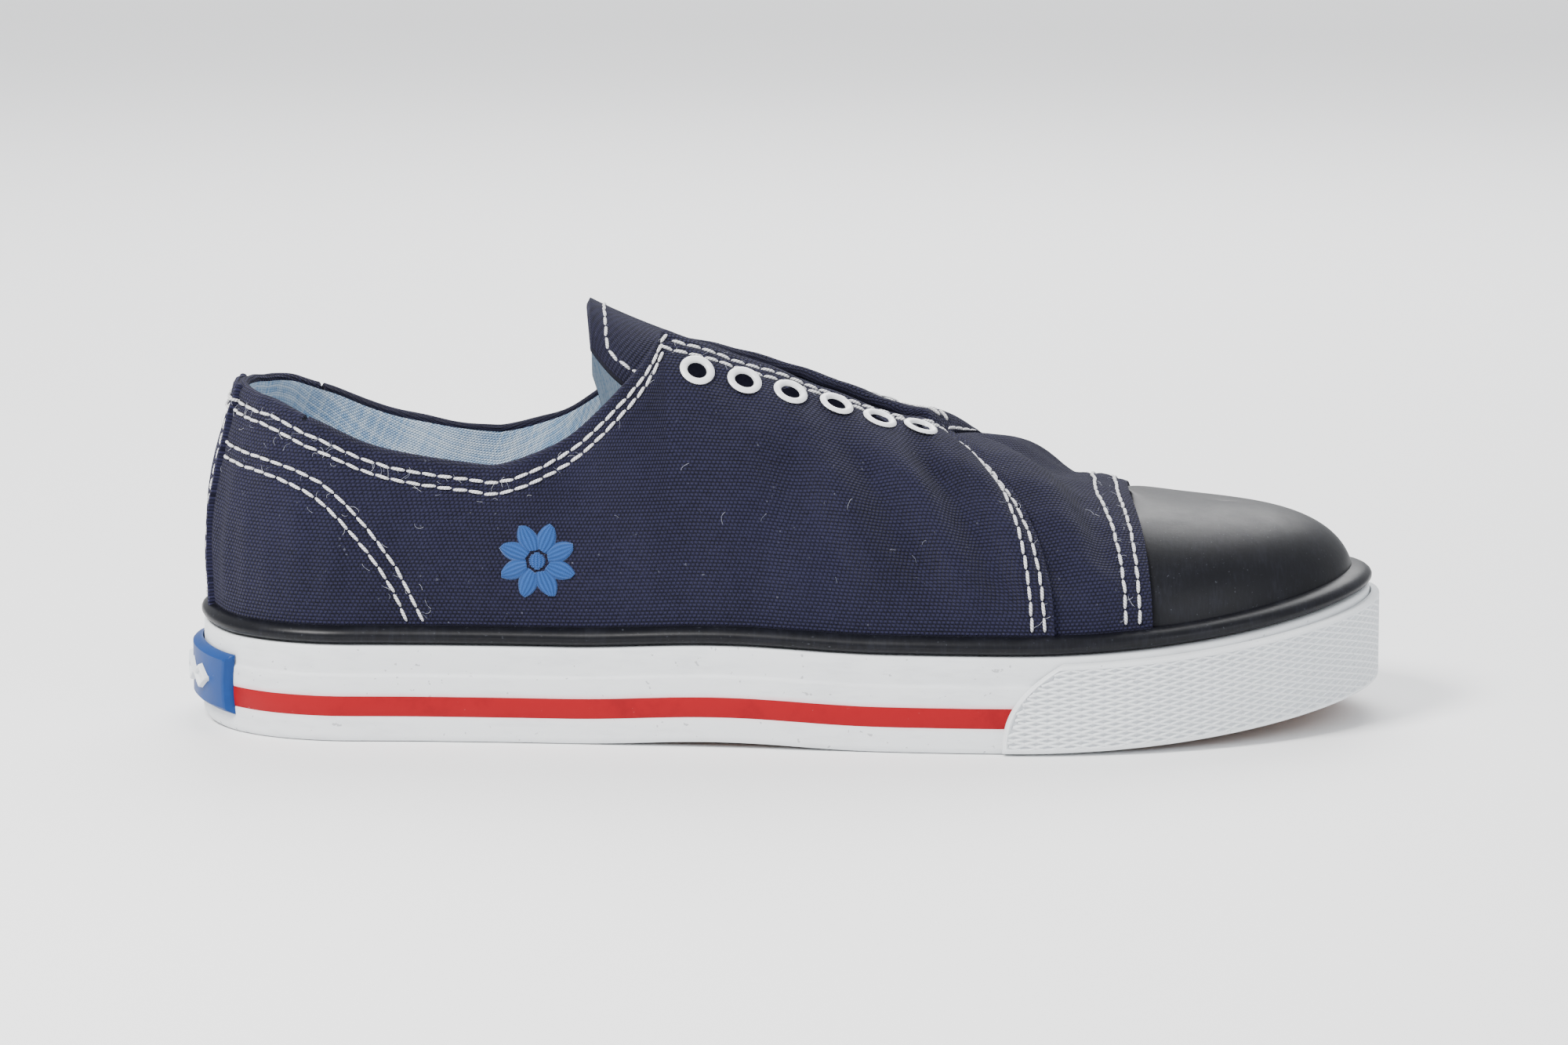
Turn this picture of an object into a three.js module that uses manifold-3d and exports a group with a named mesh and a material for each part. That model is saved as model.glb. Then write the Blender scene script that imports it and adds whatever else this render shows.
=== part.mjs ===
// A low canvas sneaker for a right foot, unbent and standing empty on its sole.
// Lengths are millimetres. +X points to the toe, +Y to the inner side of the foot, +Z up.
// The part's origin is the middle of the bottom of its box.
import * as THREE from "three";
import { mergeVertices } from "three/addons/utils/BufferGeometryUtils.js";
import Module from "manifold-3d";

const wasm = await Module();
wasm.setup();

// Driving dimensions of the sole.
const soleLength = 280; // heel back to toe tip, over the white side band
const heelWidth = 73;
const ballWidth = 103;
const toeShift = 5; // how far the toe tip lies towards the inner side
const toeSpring = 8;
const heelRoll = 1;
const archRise = 1.2;
const bandHeight = 23;
const bandWall = 3.2;
const bandBottomRound = 1.6;
const bandTopRound = 0.5;
const bandStepHeight = 16.1; // where the outer tape of the band ends
const bandStepDepth = 0.45;
const stripeLow = 6.3;
const stripeHeight = 4.5;
const stripeDepth = 0.7;
const outsoleThickness = 9.2;
const treadBorder = 8.5;
const treadDepth = 2.6;
const treadWallRun = 0.4; // how far the border's wall slopes in, as a share of treadDepth
const insoleThickness = 4;
const insoleBevel = 1.5;
const insoleEdge = 0.7; // the height of the insole's edge, as a share of its thickness

// Driving dimensions of the upper. A rise is a height over the top of the side band.
const instepRise = 42; // at the base of the throat
const heelCollarRise = 55;
const ankleCollarRise = 40.5;
const throatGap = 26;
const collarSweep = 1.7; // how late the collar climbs from the ankle to the throat
const heelBulge = 1.6;
const liningWall = 0.8;
const vampWall = 2.4;
const quarterWall = 3;
const capWall = 0.9;
const tongueWall = 2.2;
const tongueTopWidth = 52;
const tongueBaseWidth = 44;
const wallTuck = 4; // how far the toe cap reaches down behind the side band
const tongueTopRound = 0.35; // how far round its corner the tongue's top starts, as a share
const tongueRoundRate = 5; // how quickly the corner ends along the tongue
const tongueLooseShare = 0.3; // the share of the tongue's length that lies loose

// Driving dimensions of the trim.
const beadHeight = 4.4;
const beadSetBack = 0.3;
const beadEaseLength = 4; // how far past a seam the bead takes to follow the thinner wall
const bumperHeight = 20.9;
const bumperWall = 1.8;
const bumperLow = 0.5;
const bumperLeanPower = 2.6; // how late the rear end leans forward on its way up
const badgeLow = 4.3;
const badgeHeight = 14.2;
const badgeWall = 2;
const badgeReach = 27; // along the heel, each way from its middle
const badgeEndBow = 0.06; // how far the ends bow inwards, as a share of the reach
const chainWall = 1.2;
const chainHeight = 6;
const chainReach = 19;
const chainLinks = 5;
const chainNeck = 0.16; // the height of a neck between links, as a share of a link's
const chainFlat = 0.7; // the height of a link's flat top, as a share of the link's
const stripWidth = 20;
const stripWall = 1.1;
const eyeletsPerSide = 6;
const eyeletBore = 2.3;
const eyeletFlange = 4.2;
const eyeletTube = 0.4;
const eyeletLip = 0.4;
const eyeletSetBack = 8; // from the edge of the throat to the middle of an eyelet

// Clearances between pieces.
const gap = 0.3;
const eyeletGap = 0.55; // under the flat flange, because the facing is curved
const tongueGap = 0.85;
const tongueTopGap = 2.2; // the tongue's free end lies loose

// Where features lie along the sole, as shares of its length.
const throatBaseAt = 0.722;
const capEdgeAt = 0.807;
const collarCornerAt = 0.4;
const ankleAt = 0.25;
const springStartAt = 0.68;
const archFromAt = 0.31;
const archToAt = 0.58;
const heelRollAt = 0.036;
const bumperRearLowAt = 0.678;
const bumperRearHighAt = 0.728;
const tongueTopAt = 0.335;
const tongueBaseAt = 0.76;
const eyeletFirstAt = 0.43;
const eyeletLastAt = 0.66;

// How finely the solids are divided.
const evenStations = 27;
const wallColumns = 6;
const eyeletSides = 8;
const holeSides = 8;
const tongueColumns = 5;
const tongueRowClear = 0.02; // how near to the tongue's ends no shared station is used
const tongueTipRow = 0.3; // the row that rounds the tip, as a share of the way to the next one
const featureClear = 0.45; // how near to a feature no even station is used, as a share of their step
const collarClimbShares = [0.4, 0.7, 0.88]; // extra stations where the collar climbs
const stripRuns = [-1, -0.6, 0, 0.6, 1];
const bumperColumns = 24;
const bumperLevels = 5;
const badgeColumns = 14;
const badgeLevels = 3;

// The half sections of the last. at: where the section leaves the sole's edge, over: where it crosses the
// ridge of the instep, both as shares of the sole's length. rise: the ridge over the side band, as a share
// of instepRise. aside: the ridge's shift to the inner side, as a share of toeShift. fullness: the
// exponent of the section's superellipse.
const lastSections = [
  { at: 0, over: 0.165, rise: 2.5, aside: 0, fullness: 2 },
  { at: 0.13, over: 0.2, rise: 2.4, aside: 0, fullness: 2 },
  { at: 0.25, over: 0.27, rise: 2.12, aside: 0, fullness: 2.3 },
  { at: 0.36, over: 0.355, rise: 1.8, aside: 0, fullness: 2.5 },
  { at: 0.4, over: 0.385, rise: 1.7, aside: 0, fullness: 2.35 },
  { at: 0.5, over: 0.46, rise: 1.47, aside: 0.1, fullness: 2.15 },
  { at: 0.61, over: 0.545, rise: 1.225, aside: 0.3, fullness: 2.1 },
  { at: 0.722, over: 0.636, rise: 1, aside: 0.5, fullness: 2.15 },
  { at: 0.807, over: 0.785, rise: 0.665, aside: 0.8, fullness: 2.25 },
  { at: 0.9, over: 0.835, rise: 0.585, aside: 0.95, fullness: 2.3 },
  { at: 1, over: 0.862, rise: 0.54, aside: 1, fullness: 2.35 },
];

// The collar from the heel to the dip at the ankle. high: the share of the fall between the two rises.
const collarRows = [
  { at: 0, high: 1 },
  { at: 0.03, high: 0.97 },
  { at: 0.09, high: 0.66 },
  { at: 0.17, high: 0.2 },
  { at: 0.25, high: 0 },
];

// The two edges of the throat. open: half the gap between them, as a share of throatGap.
const throatRows = [
  { at: 0.4, open: 0.52 },
  { at: 0.5, open: 0.48 },
  { at: 0.61, open: 0.42 },
  { at: 0.68, open: 0.34 },
  { at: 0.71, open: 0.2 },
  { at: 0.722, open: 0 },
];

// The bead's outer face, as [inset from the outline, height as a share of beadHeight].
const beadFoot = bandStepDepth + beadSetBack;
const beadProfile = [
  [bandStepDepth, 0.5],
  [beadFoot + 0.1 * bandWall, 0.84],
  [beadFoot + 0.4 * bandWall, 1],
];

// The tread's bars. at: share of the sole's length, across: share of half the ball width towards the inner
// side, long: share of the ball width, turn: degrees from straight ahead.
const treadBars = [
  { at: 0.1, across: 0, long: 0.2, turn: 0 },
  { at: 0.145, across: -0.28, long: 0.22, turn: 30 },
  { at: 0.145, across: 0.28, long: 0.22, turn: -30 },
  { at: 0.21, across: -0.3, long: 0.22, turn: 30 },
  { at: 0.21, across: 0.26, long: 0.22, turn: -30 },
  { at: 0.235, across: -0.03, long: 0.2, turn: 0 },
  { at: 0.3, across: -0.28, long: 0.2, turn: 30 },
  { at: 0.3, across: 0.2, long: 0.2, turn: -30 },
  { at: 0.45, across: -0.3, long: 0.2, turn: 30 },
  { at: 0.45, across: 0.16, long: 0.2, turn: -30 },
  { at: 0.55, across: -0.46, long: 0.2, turn: 30 },
  { at: 0.57, across: 0.28, long: 0.2, turn: -30 },
  { at: 0.63, across: -0.38, long: 0.24, turn: 30 },
  { at: 0.635, across: 0.4, long: 0.22, turn: -30 },
  { at: 0.65, across: 0.02, long: 0.2, turn: 0 },
  { at: 0.7, across: -0.48, long: 0.22, turn: 30 },
  { at: 0.705, across: 0.5, long: 0.22, turn: -30 },
  { at: 0.745, across: 0.02, long: 0.22, turn: 0 },
  { at: 0.775, across: -0.42, long: 0.2, turn: 30 },
  { at: 0.78, across: 0.48, long: 0.2, turn: -30 },
  { at: 0.845, across: 0.05, long: 0.2, turn: 0 },
  { at: 0.85, across: -0.3, long: 0.16, turn: 30 },
  { at: 0.86, across: 0.42, long: 0.16, turn: -30 },
];
const treadBarWidth = 8;
const treadBarSink = 1; // how far a bar reaches into the floor of the tread
const treadBarEndPoints = 3;
const treadBarRelief = 0.3; // how far a bar stays off the floor that the sole's border rests on

const LATERAL = -1;
const MEDIAL = 1;
const QUARTER_TURN = Math.PI / 2;
const RIDGE_STEP = 0.05;
const NORMAL_STEP = 1e-3;
const MERGE_DISTANCE = 1e-3;
const TINY = 1e-9;
const HALVINGS = 40; // how often a search on a curve halves its span

const canvas = material(0x24264a, 0.9);
const lightLining = material(0x9cc0dd, 0.9);
const darkRubber = material(0x1d1f27, 0.45);
const whiteRubber = material(0xe9ecee, 0.55);
const redRubber = material(0xd02231, 0.5);
const blueRubber = material(0x2f72b8, 0.5);
const gumRubber = material(0xa5703f, 0.6);
const enamel = material(0xe8e8ea, 0.35, 0.3);

function material(color, roughness, metalness = 0) {
  return new THREE.MeshStandardMaterial({ color, roughness, metalness });
}

// The station angle of a share of the sole's length. Equal angles give even steps round heel and toe.
function stationAt(share) {
  return Math.acos(1 - 2 * share);
}

function shareAt(station) {
  return (1 - Math.cos(station)) / 2;
}

function mix(a, b, t) {
  return a + (b - a) * t;
}

function ease(t) {
  const c = Math.min(1, Math.max(0, t));
  return c * c * (3 - 2 * c);
}

// A smooth reading of one column of a table whose rows lie at shares of the sole's length.
function readRows(rows, column, station) {
  const x = rows.map((row) => stationAt(row.at));
  const y = rows.map((row) => row[column]);
  const last = rows.length - 1;
  if (station <= x[0]) return y[0];
  if (station >= x[last]) return y[last];
  const i = x.findIndex((value) => value > station) - 1;
  const slope = (k) => (y[k + 1] - y[k]) / (x[k + 1] - x[k]);
  const tangent = (k) => {
    if (k === 0) return slope(0);
    if (k === last) return slope(last - 1);
    const before = slope(k - 1);
    const after = slope(k);
    return before * after <= 0 ? 0 : (2 * before * after) / (before + after);
  };
  const span = x[i + 1] - x[i];
  const t = (station - x[i]) / span;
  const rest = 1 - t;
  return (
    y[i] * (1 + 2 * t) * rest * rest +
    tangent(i) * span * t * rest * rest +
    y[i + 1] * t * t * (3 - 2 * t) +
    tangent(i + 1) * span * t * t * (t - 1)
  );
}

// The sole's outline in plan, one chain of curves for each side, from the heel's back to the toe's tip.
// A corner point is [share of length, width], and a pull is a control point of the same kind.
function sideCurves(corners) {
  const curves = [];
  for (let i = 1; i < corners.length; i++) {
    const points = [
      corners[i - 1].point,
      corners[i - 1].leave,
      corners[i].arrive,
      corners[i].point,
    ];
    const [a, b, c, d] = points.map(
      ([share, y]) => new THREE.Vector2(share * soleLength, y),
    );
    curves.push(new THREE.CubicBezierCurve(a, b, c, d));
  }
  return curves;
}

const halfHeel = heelWidth / 2;
const halfBall = ballWidth / 2;
const outlines = {
  [LATERAL]: sideCurves([
    { point: [0, 0], leave: [0, -0.56 * halfHeel] },
    {
      arrive: [0.06, -halfHeel],
      point: [0.136, -halfHeel],
      leave: [0.35, -halfHeel],
    },
    {
      arrive: [0.56, -halfBall],
      point: [0.705, -halfBall],
      leave: [0.865, -halfBall],
    },
    { arrive: [1, toeShift - 0.56 * halfBall], point: [1, toeShift] },
  ]),
  [MEDIAL]: sideCurves([
    { point: [0, 0], leave: [0, 0.56 * halfHeel] },
    {
      arrive: [0.055, 0.985 * halfHeel],
      point: [0.125, 0.985 * halfHeel],
      leave: [0.22, 0.985 * halfHeel],
    },
    {
      arrive: [0.3, 0.84 * halfHeel],
      point: [0.39, 0.84 * halfHeel],
      leave: [0.51, 0.84 * halfHeel],
    },
    {
      arrive: [0.62, 0.98 * halfBall],
      point: [0.765, 0.98 * halfBall],
      leave: [0.89, 0.98 * halfBall],
    },
    { arrive: [1, toeShift + 0.5 * halfBall], point: [1, toeShift] },
  ]),
};

// The outline's point at a station, and the direction from it towards the middle of the sole.
const edgeCache = new Map();

function outlineAt(side, station) {
  const key = side * (station + 1);
  if (edgeCache.has(key)) return edgeCache.get(key);
  const x = shareAt(station) * soleLength;
  const curves = outlines[side];
  const curve =
    curves.find((c) => x <= c.v3.x + TINY) || curves[curves.length - 1];
  let low = 0;
  let high = 1;
  for (let i = 0; i < HALVINGS; i++) {
    const middle = (low + high) / 2;
    if (curve.getPoint(middle).x < x) low = middle;
    else high = middle;
  }
  const t = (low + high) / 2;
  const { v0, v1, v2, v3 } = curve;
  const along = new THREE.Vector2()
    .addScaledVector(v1.clone().sub(v0), (1 - t) ** 2)
    .addScaledVector(v2.clone().sub(v1), 2 * t * (1 - t))
    .addScaledVector(v3.clone().sub(v2), t ** 2)
    .normalize();
  const inward = new THREE.Vector2(side * along.y, -side * along.x);
  const found = { point: curve.getPoint(t), inward };
  edgeCache.set(key, found);
  return found;
}

// A point of the outline moved inwards, in plan.
function edgePoint(side, station, inset) {
  const { point, inward } = outlineAt(side, station);
  return point.clone().addScaledVector(inward, inset);
}

// The height of the sole's underside over the floor.
function soleBottom(x) {
  const share = x / soleLength;
  const spring = Math.max(0, (share - springStartAt) / (1 - springStartAt));
  const heel = Math.max(0, (heelRollAt - share) / heelRollAt);
  const arch = Math.min(
    1,
    Math.max(0, (share - archFromAt) / (archToAt - archFromAt)),
  );
  return (
    toeSpring * spring ** 2 +
    heelRoll * heel ** 2 +
    archRise * Math.sin(Math.PI * arch) ** 2
  );
}

function stationBottom(station) {
  return soleBottom(shareAt(station) * soleLength);
}

// A point of the side of the sole: inset from the outline, and a height over the underside.
function sidePoint(side, station, inset, height) {
  const p = edgePoint(side, station, inset);
  return new THREE.Vector3(p.x, p.y, stationBottom(station) + height);
}

// The last. Its wall starts at the top of the side band, inside the band's wall and the upper's.
const lastInset = bandWall + gap + vampWall;

function ridgePoint(station) {
  const x = readRows(lastSections, "over", station) * soleLength;
  const rise = readRows(lastSections, "rise", station) * instepRise;
  return new THREE.Vector3(
    x,
    readRows(lastSections, "aside", station) * toeShift,
    soleBottom(x) + bandHeight + rise,
  );
}

// A point on the last: lift is the angle up the half section, 0 at the side band and 90 degrees at the ridge.
function lastPoint(side, station, lift) {
  if (station < 0) return lastPoint(-side, -station, lift);
  if (station > Math.PI) return lastPoint(-side, 2 * Math.PI - station, lift);
  const power = 2 / readRows(lastSections, "fullness", station);
  const edge = edgePoint(side, station, lastInset);
  const ridge = ridgePoint(station);
  const floor = stationBottom(station) + bandHeight;
  const inwards = 1 - Math.max(0, Math.cos(lift)) ** power;
  const upwards = Math.max(0, Math.sin(lift)) ** power;
  const heelShare = ease(1 - shareAt(station) / ankleAt);
  const bulge =
    heelBulge * heelShare * Math.sin(Math.PI * Math.min(1, 2 * upwards));
  const outward = edge
    .clone()
    .sub(edgePoint(side, station, lastInset + 1))
    .multiplyScalar(bulge);
  return new THREE.Vector3(
    mix(edge.x, ridge.x, inwards) + outward.x,
    mix(edge.y, ridge.y, inwards) + outward.y,
    mix(floor, ridge.z, upwards),
  );
}

function lastNormal(side, station, lift) {
  if (lift > QUARTER_TURN - NORMAL_STEP) {
    const ahead = ridgePoint(Math.min(Math.PI, station + RIDGE_STEP));
    const behind = ridgePoint(Math.max(0, station - RIDGE_STEP));
    const slope = (ahead.z - behind.z) / (ahead.x - behind.x);
    return new THREE.Vector3(-slope, 0, 1).normalize();
  }
  const along = lastPoint(side, station + NORMAL_STEP, lift).sub(
    lastPoint(side, station - NORMAL_STEP, lift),
  );
  const up = lastPoint(side, station, lift + NORMAL_STEP).sub(
    lastPoint(side, station, Math.max(0, lift - NORMAL_STEP)),
  );
  return along.cross(up).multiplyScalar(-side).normalize();
}

function overLast(side, station, lift, offset) {
  const point = lastPoint(side, station, lift);
  return point.addScaledVector(lastNormal(side, station, lift), offset);
}

// The lift at which a half section reaches a rise over the side band, and at which it comes within a
// distance of the ridge.
function liftAtRise(station, rise) {
  const floor = stationBottom(station) + bandHeight;
  const share = rise / (ridgePoint(station).z - floor);
  const power = readRows(lastSections, "fullness", station) / 2;
  return Math.asin(Math.min(1, share ** power));
}

function riseAtLift(station, lift) {
  const floor = stationBottom(station) + bandHeight;
  const power = 2 / readRows(lastSections, "fullness", station);
  return (ridgePoint(station).z - floor) * Math.sin(lift) ** power;
}

function liftAtReach(side, station, reach) {
  const edge = edgePoint(side, station, lastInset);
  const ridge = ridgePoint(station);
  const span = Math.hypot(edge.x - ridge.x, edge.y - ridge.y);
  const power = readRows(lastSections, "fullness", station) / 2;
  return Math.acos(Math.min(1, (reach / span) ** power));
}

// The lift of the upper's edge: the collar, then the side of the throat, then the closed vamp.
function edgeLift(side, station) {
  const share = shareAt(station);
  if (share >= throatBaseAt - TINY) return QUARTER_TURN;
  const ankle = (at) => {
    const high = readRows(collarRows, "high", at);
    return liftAtRise(at, mix(ankleCollarRise, heelCollarRise, high));
  };
  if (share <= ankleAt) return ankle(station);
  const throat = (at) =>
    liftAtReach(side, at, readRows(throatRows, "open", at) * throatGap);
  if (share >= collarCornerAt) return throat(station);
  const from = stationAt(ankleAt);
  const to = stationAt(collarCornerAt);
  const cornerRise = riseAtLift(to, throat(to));
  const t = ((station - from) / (to - from)) ** collarSweep;
  return liftAtRise(station, mix(ankleCollarRise, cornerRise, t));
}

// The stations that all the solids share, with a pair at each seam so that a step has a clean edge.
const seamStep = gap / soleLength;
const featureShares = [
  ankleAt,
  ...collarClimbShares.map((t) => mix(ankleAt, collarCornerAt, t)),
  collarCornerAt,
  ...throatRows.slice(-3, -1).map((row) => row.at),
  throatBaseAt,
  throatBaseAt + 2 * seamStep,
  capEdgeAt,
  capEdgeAt + 2 * seamStep,
];

function makeStations() {
  const features = featureShares.map(stationAt);
  const even = [];
  const step = Math.PI / evenStations;
  for (let i = 0; i <= evenStations; i++) even.push(i * step);
  const kept = even.filter((a, i) => {
    const isEnd = i === 0 || i === evenStations;
    return isEnd || features.every((f) => Math.abs(f - a) > step * featureClear);
  });
  return [...kept, ...features].sort((a, b) => a - b);
}

const stations = makeStations();

// One row for each station of a side: all round the shoe, heel to toe on the outer side and back.
function ringRows(from = 0, to = Math.PI) {
  const inside = stations.filter((a) => a >= from - TINY && a <= to + TINY);
  const out = inside.map((station) => ({ side: LATERAL, station }));
  const back = inside
    .filter((a) => a > TINY && a < Math.PI - TINY)
    .reverse()
    .map((station) => ({ side: MEDIAL, station }));
  return [...out, ...back];
}

// A closed mesh from rows of points. Each row is a closed loop of points, and the rows are joined in order.
// Where joined is set, the last row meets the first. An end row that folds flat needs no cap.
function loopSolid(rows, { joined = false, capFirst = true, capLast = true } = {}) {
  const count = rows[0].length;
  const faces = [];
  const last = joined ? rows.length : rows.length - 1;
  for (let r = 0; r < last; r++) {
    const a = r * count;
    const b = ((r + 1) % rows.length) * count;
    for (let c = 0; c < count; c++) {
      const d = (c + 1) % count;
      faces.push([a + c, b + c, b + d], [a + c, b + d, a + d]);
    }
  }
  const end = (rows.length - 1) * count;
  for (const [c, d, e] of joined ? [] : capFaces(count)) {
    if (capFirst) faces.push([c, d, e]);
    if (capLast) faces.push([end + c, end + e, end + d]);
  }
  return closedGeometry(rows.flat(), faces);
}

// The triangles of a loop made of two facing chains of points, such as a thin wall's section.
function capFaces(count) {
  const faces = [];
  for (let i = 0, j = count - 1; i + 1 < j; i++, j--) {
    faces.push([i, i + 1, j]);
    if (i + 1 < j - 1) faces.push([i + 1, j - 1, j]);
  }
  return faces;
}

function closedGeometry(points, faces) {
  const position = new Float32Array(points.flatMap((p) => [p.x, p.y, p.z]));
  const geometry = new THREE.BufferGeometry();
  geometry.setAttribute("position", new THREE.BufferAttribute(position, 3));
  geometry.setIndex(faces.flat());
  return cleanGeometry(geometry);
}

// Merges equal vertices, drops faces that closed up, and turns the mesh to face outwards.
function cleanGeometry(geometry) {
  const bare = new THREE.BufferGeometry();
  bare.setAttribute("position", geometry.getAttribute("position"));
  bare.setIndex(geometry.getIndex());
  const merged = mergeVertices(bare, MERGE_DISTANCE);
  const old = merged.index.array;
  const kept = [];
  for (let i = 0; i < old.length; i += 3) {
    const [a, b, c] = [old[i], old[i + 1], old[i + 2]];
    if (a !== b && b !== c && a !== c) kept.push(a, b, c);
  }
  if (signedVolume(merged.attributes.position, kept) < 0) {
    for (let i = 0; i < kept.length; i += 3) {
      [kept[i + 1], kept[i + 2]] = [kept[i + 2], kept[i + 1]];
    }
  }
  merged.setIndex(kept);
  return merged;
}

function signedVolume(position, index) {
  const [a, b, c] = [0, 0, 0].map(() => new THREE.Vector3());
  let sum = 0;
  for (let i = 0; i < index.length; i += 3) {
    a.fromBufferAttribute(position, index[i]);
    b.fromBufferAttribute(position, index[i + 1]);
    c.fromBufferAttribute(position, index[i + 2]);
    sum += a.dot(b.cross(c)) / 6;
  }
  return sum;
}

function toManifold(geometry) {
  const clean = geometry.index
    ? cleanGeometry(geometry)
    : cleanGeometry(mergeVertices(geometry.deleteAttribute("normal")));
  return new wasm.Manifold(
    new wasm.Mesh({
      numProp: 3,
      vertProperties: clean.attributes.position.array,
      triVerts: new Uint32Array(clean.index.array),
    }),
  );
}

function fromManifold(solid) {
  const { vertProperties, triVerts, numProp, numVert } = solid.getMesh();
  const position = new Float32Array(numVert * 3);
  for (let i = 0; i < numVert; i++) {
    position.set(
      vertProperties.subarray(i * numProp, i * numProp + 3),
      i * 3,
    );
  }
  const geometry = new THREE.BufferGeometry();
  geometry.setAttribute("position", new THREE.BufferAttribute(position, 3));
  geometry.setIndex(new THREE.BufferAttribute(triVerts, 1));
  return geometry;
}

// The outer face of the upper's wall over the last: quarters, vamp, and the lining under the toe cap.
function outerOffset(station) {
  const share = shareAt(station);
  if (share < throatBaseAt + seamStep) return quarterWall;
  if (share < capEdgeAt + seamStep) return vampWall;
  return liningWall;
}

// The lifts of the columns of the upper's wall. The second one is the top of the bead.
function wallLifts(side, station) {
  const beadLift = liftAtRise(station, beadHeight + gap);
  const top = edgeLift(side, station);
  const lifts = [0];
  for (let i = 0; i <= wallColumns; i++) {
    lifts.push(mix(beadLift, top, i / wallColumns));
  }
  return lifts;
}

// A shell over the last, from the foot of the wall to the edge. Rows past the throat are closed at the
// ridge, where both sides share their last point.
function upperShell() {
  const footHeight = outsoleThickness + gap;
  const rows = ringRows().map(({ side, station }) => {
    const foot = (offset) =>
      sidePoint(side, station, lastInset - offset, footHeight);
    const offset = outerOffset(station);
    const lifts = wallLifts(side, station);
    const footOffset = Math.min(offset, vampWall);
    const outer = [
      foot(footOffset),
      ...lifts.map((lift, i) =>
        overLast(side, station, lift, i ? offset : footOffset),
      ),
    ];
    const inner = [
      foot(0),
      ...lifts.map((lift) => overLast(side, station, lift, 0)),
    ];
    return { outer, inner, open: shareAt(station) < throatBaseAt + TINY };
  });
  const columns = rows[0].outer.length;
  const points = rows.flatMap((row) => [...row.outer, ...row.inner]);
  const at = (r, c, layer) => (r * 2 + layer) * columns + c;
  const faces = [];
  rows.forEach((row, r) => {
    const n = (r + 1) % rows.length;
    const quad = (a, b, c, d) => faces.push([a, b, c], [a, c, d]);
    for (let c = 0; c + 1 < columns; c++) {
      quad(at(r, c, 0), at(n, c, 0), at(n, c + 1, 0), at(r, c + 1, 0));
      quad(at(r, c + 1, 1), at(n, c + 1, 1), at(n, c, 1), at(r, c, 1));
    }
    quad(at(r, 0, 1), at(n, 0, 1), at(n, 0, 0), at(r, 0, 0));
    const top = columns - 1;
    if (row.open && rows[n].open) {
      quad(at(r, top, 0), at(n, top, 0), at(n, top, 1), at(r, top, 1));
    }
  });
  return closedGeometry(points, faces);
}

// Each eyelet's place: on the quarter's outer face, a little below the edge of the throat.
function eyeletPlaces() {
  const places = [];
  for (const side of [LATERAL, MEDIAL]) {
    for (let i = 0; i < eyeletsPerSide; i++) {
      const share = mix(
        eyeletFirstAt,
        eyeletLastAt,
        i / (eyeletsPerSide - 1),
      );
      const station = stationAt(share);
      const open = readRows(throatRows, "open", station) * throatGap;
      const lift = liftAtReach(side, station, open + eyeletSetBack);
      places.push({
        name: `eyelet_${side === LATERAL ? "outer" : "inner"}_${i + 1}`,
        point: overLast(side, station, lift, quarterWall),
        normal: lastNormal(side, station, lift),
      });
    }
  }
  return places;
}

function stand(object, { point, normal }) {
  object.position.copy(point);
  object.quaternion.setFromUnitVectors(new THREE.Vector3(0, 0, 1), normal);
  object.updateMatrix();
  return object;
}

function upper() {
  let solid = toManifold(upperShell());
  const radius = eyeletBore + eyeletTube + gap;
  const depth = 3 * quarterWall;
  for (const place of eyeletPlaces()) {
    const drill = new THREE.CylinderGeometry(radius, radius, depth, holeSides);
    drill.rotateX(QUARTER_TURN);
    drill.deleteAttribute("uv");
    const placed = stand(new THREE.Object3D(), place);
    solid = solid.subtract(toManifold(drill.applyMatrix4(placed.matrix)));
  }
  return fromManifold(solid);
}

function eyelet() {
  const tube = eyeletBore + eyeletTube;
  const bottom = -quarterWall - gap / 2;
  const profile = [
    [eyeletBore, bottom],
    [tube, bottom],
    [tube, eyeletGap],
    [eyeletFlange, eyeletGap],
    [eyeletFlange - eyeletLip, eyeletGap + eyeletLip],
    [eyeletBore, eyeletGap + eyeletLip],
    [eyeletBore, bottom],
  ].map(([r, z]) => new THREE.Vector2(r, z));
  const lathe = new THREE.LatheGeometry(profile, eyeletSides);
  lathe.rotateX(QUARTER_TURN);
  lathe.deleteAttribute("uv");
  lathe.deleteAttribute("normal");
  return cleanGeometry(mergeVertices(lathe));
}

// The toe cap lies over the lining, its rear edge tucked against the vamp's edge.
function toeCap() {
  const from = stationAt(capEdgeAt + 2 * seamStep);
  const low = liningWall + gap;
  const high = low + capWall;
  const arches = stations
    .filter((a) => a >= from - TINY)
    .map((station) => {
      const layer = (side, offset) => [
        sidePoint(
          side,
          station,
          lastInset - offset,
          bandHeight - wallTuck,
        ),
        ...wallLifts(side, station).map((lift) =>
          overLast(side, station, lift, offset),
        ),
      ];
      return [
        ...layer(LATERAL, high),
        ...layer(MEDIAL, high).reverse().slice(1),
        ...layer(MEDIAL, low),
        ...layer(LATERAL, low).reverse().slice(1),
      ];
    });
  return loopSolid(arches, { capLast: false });
}

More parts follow.
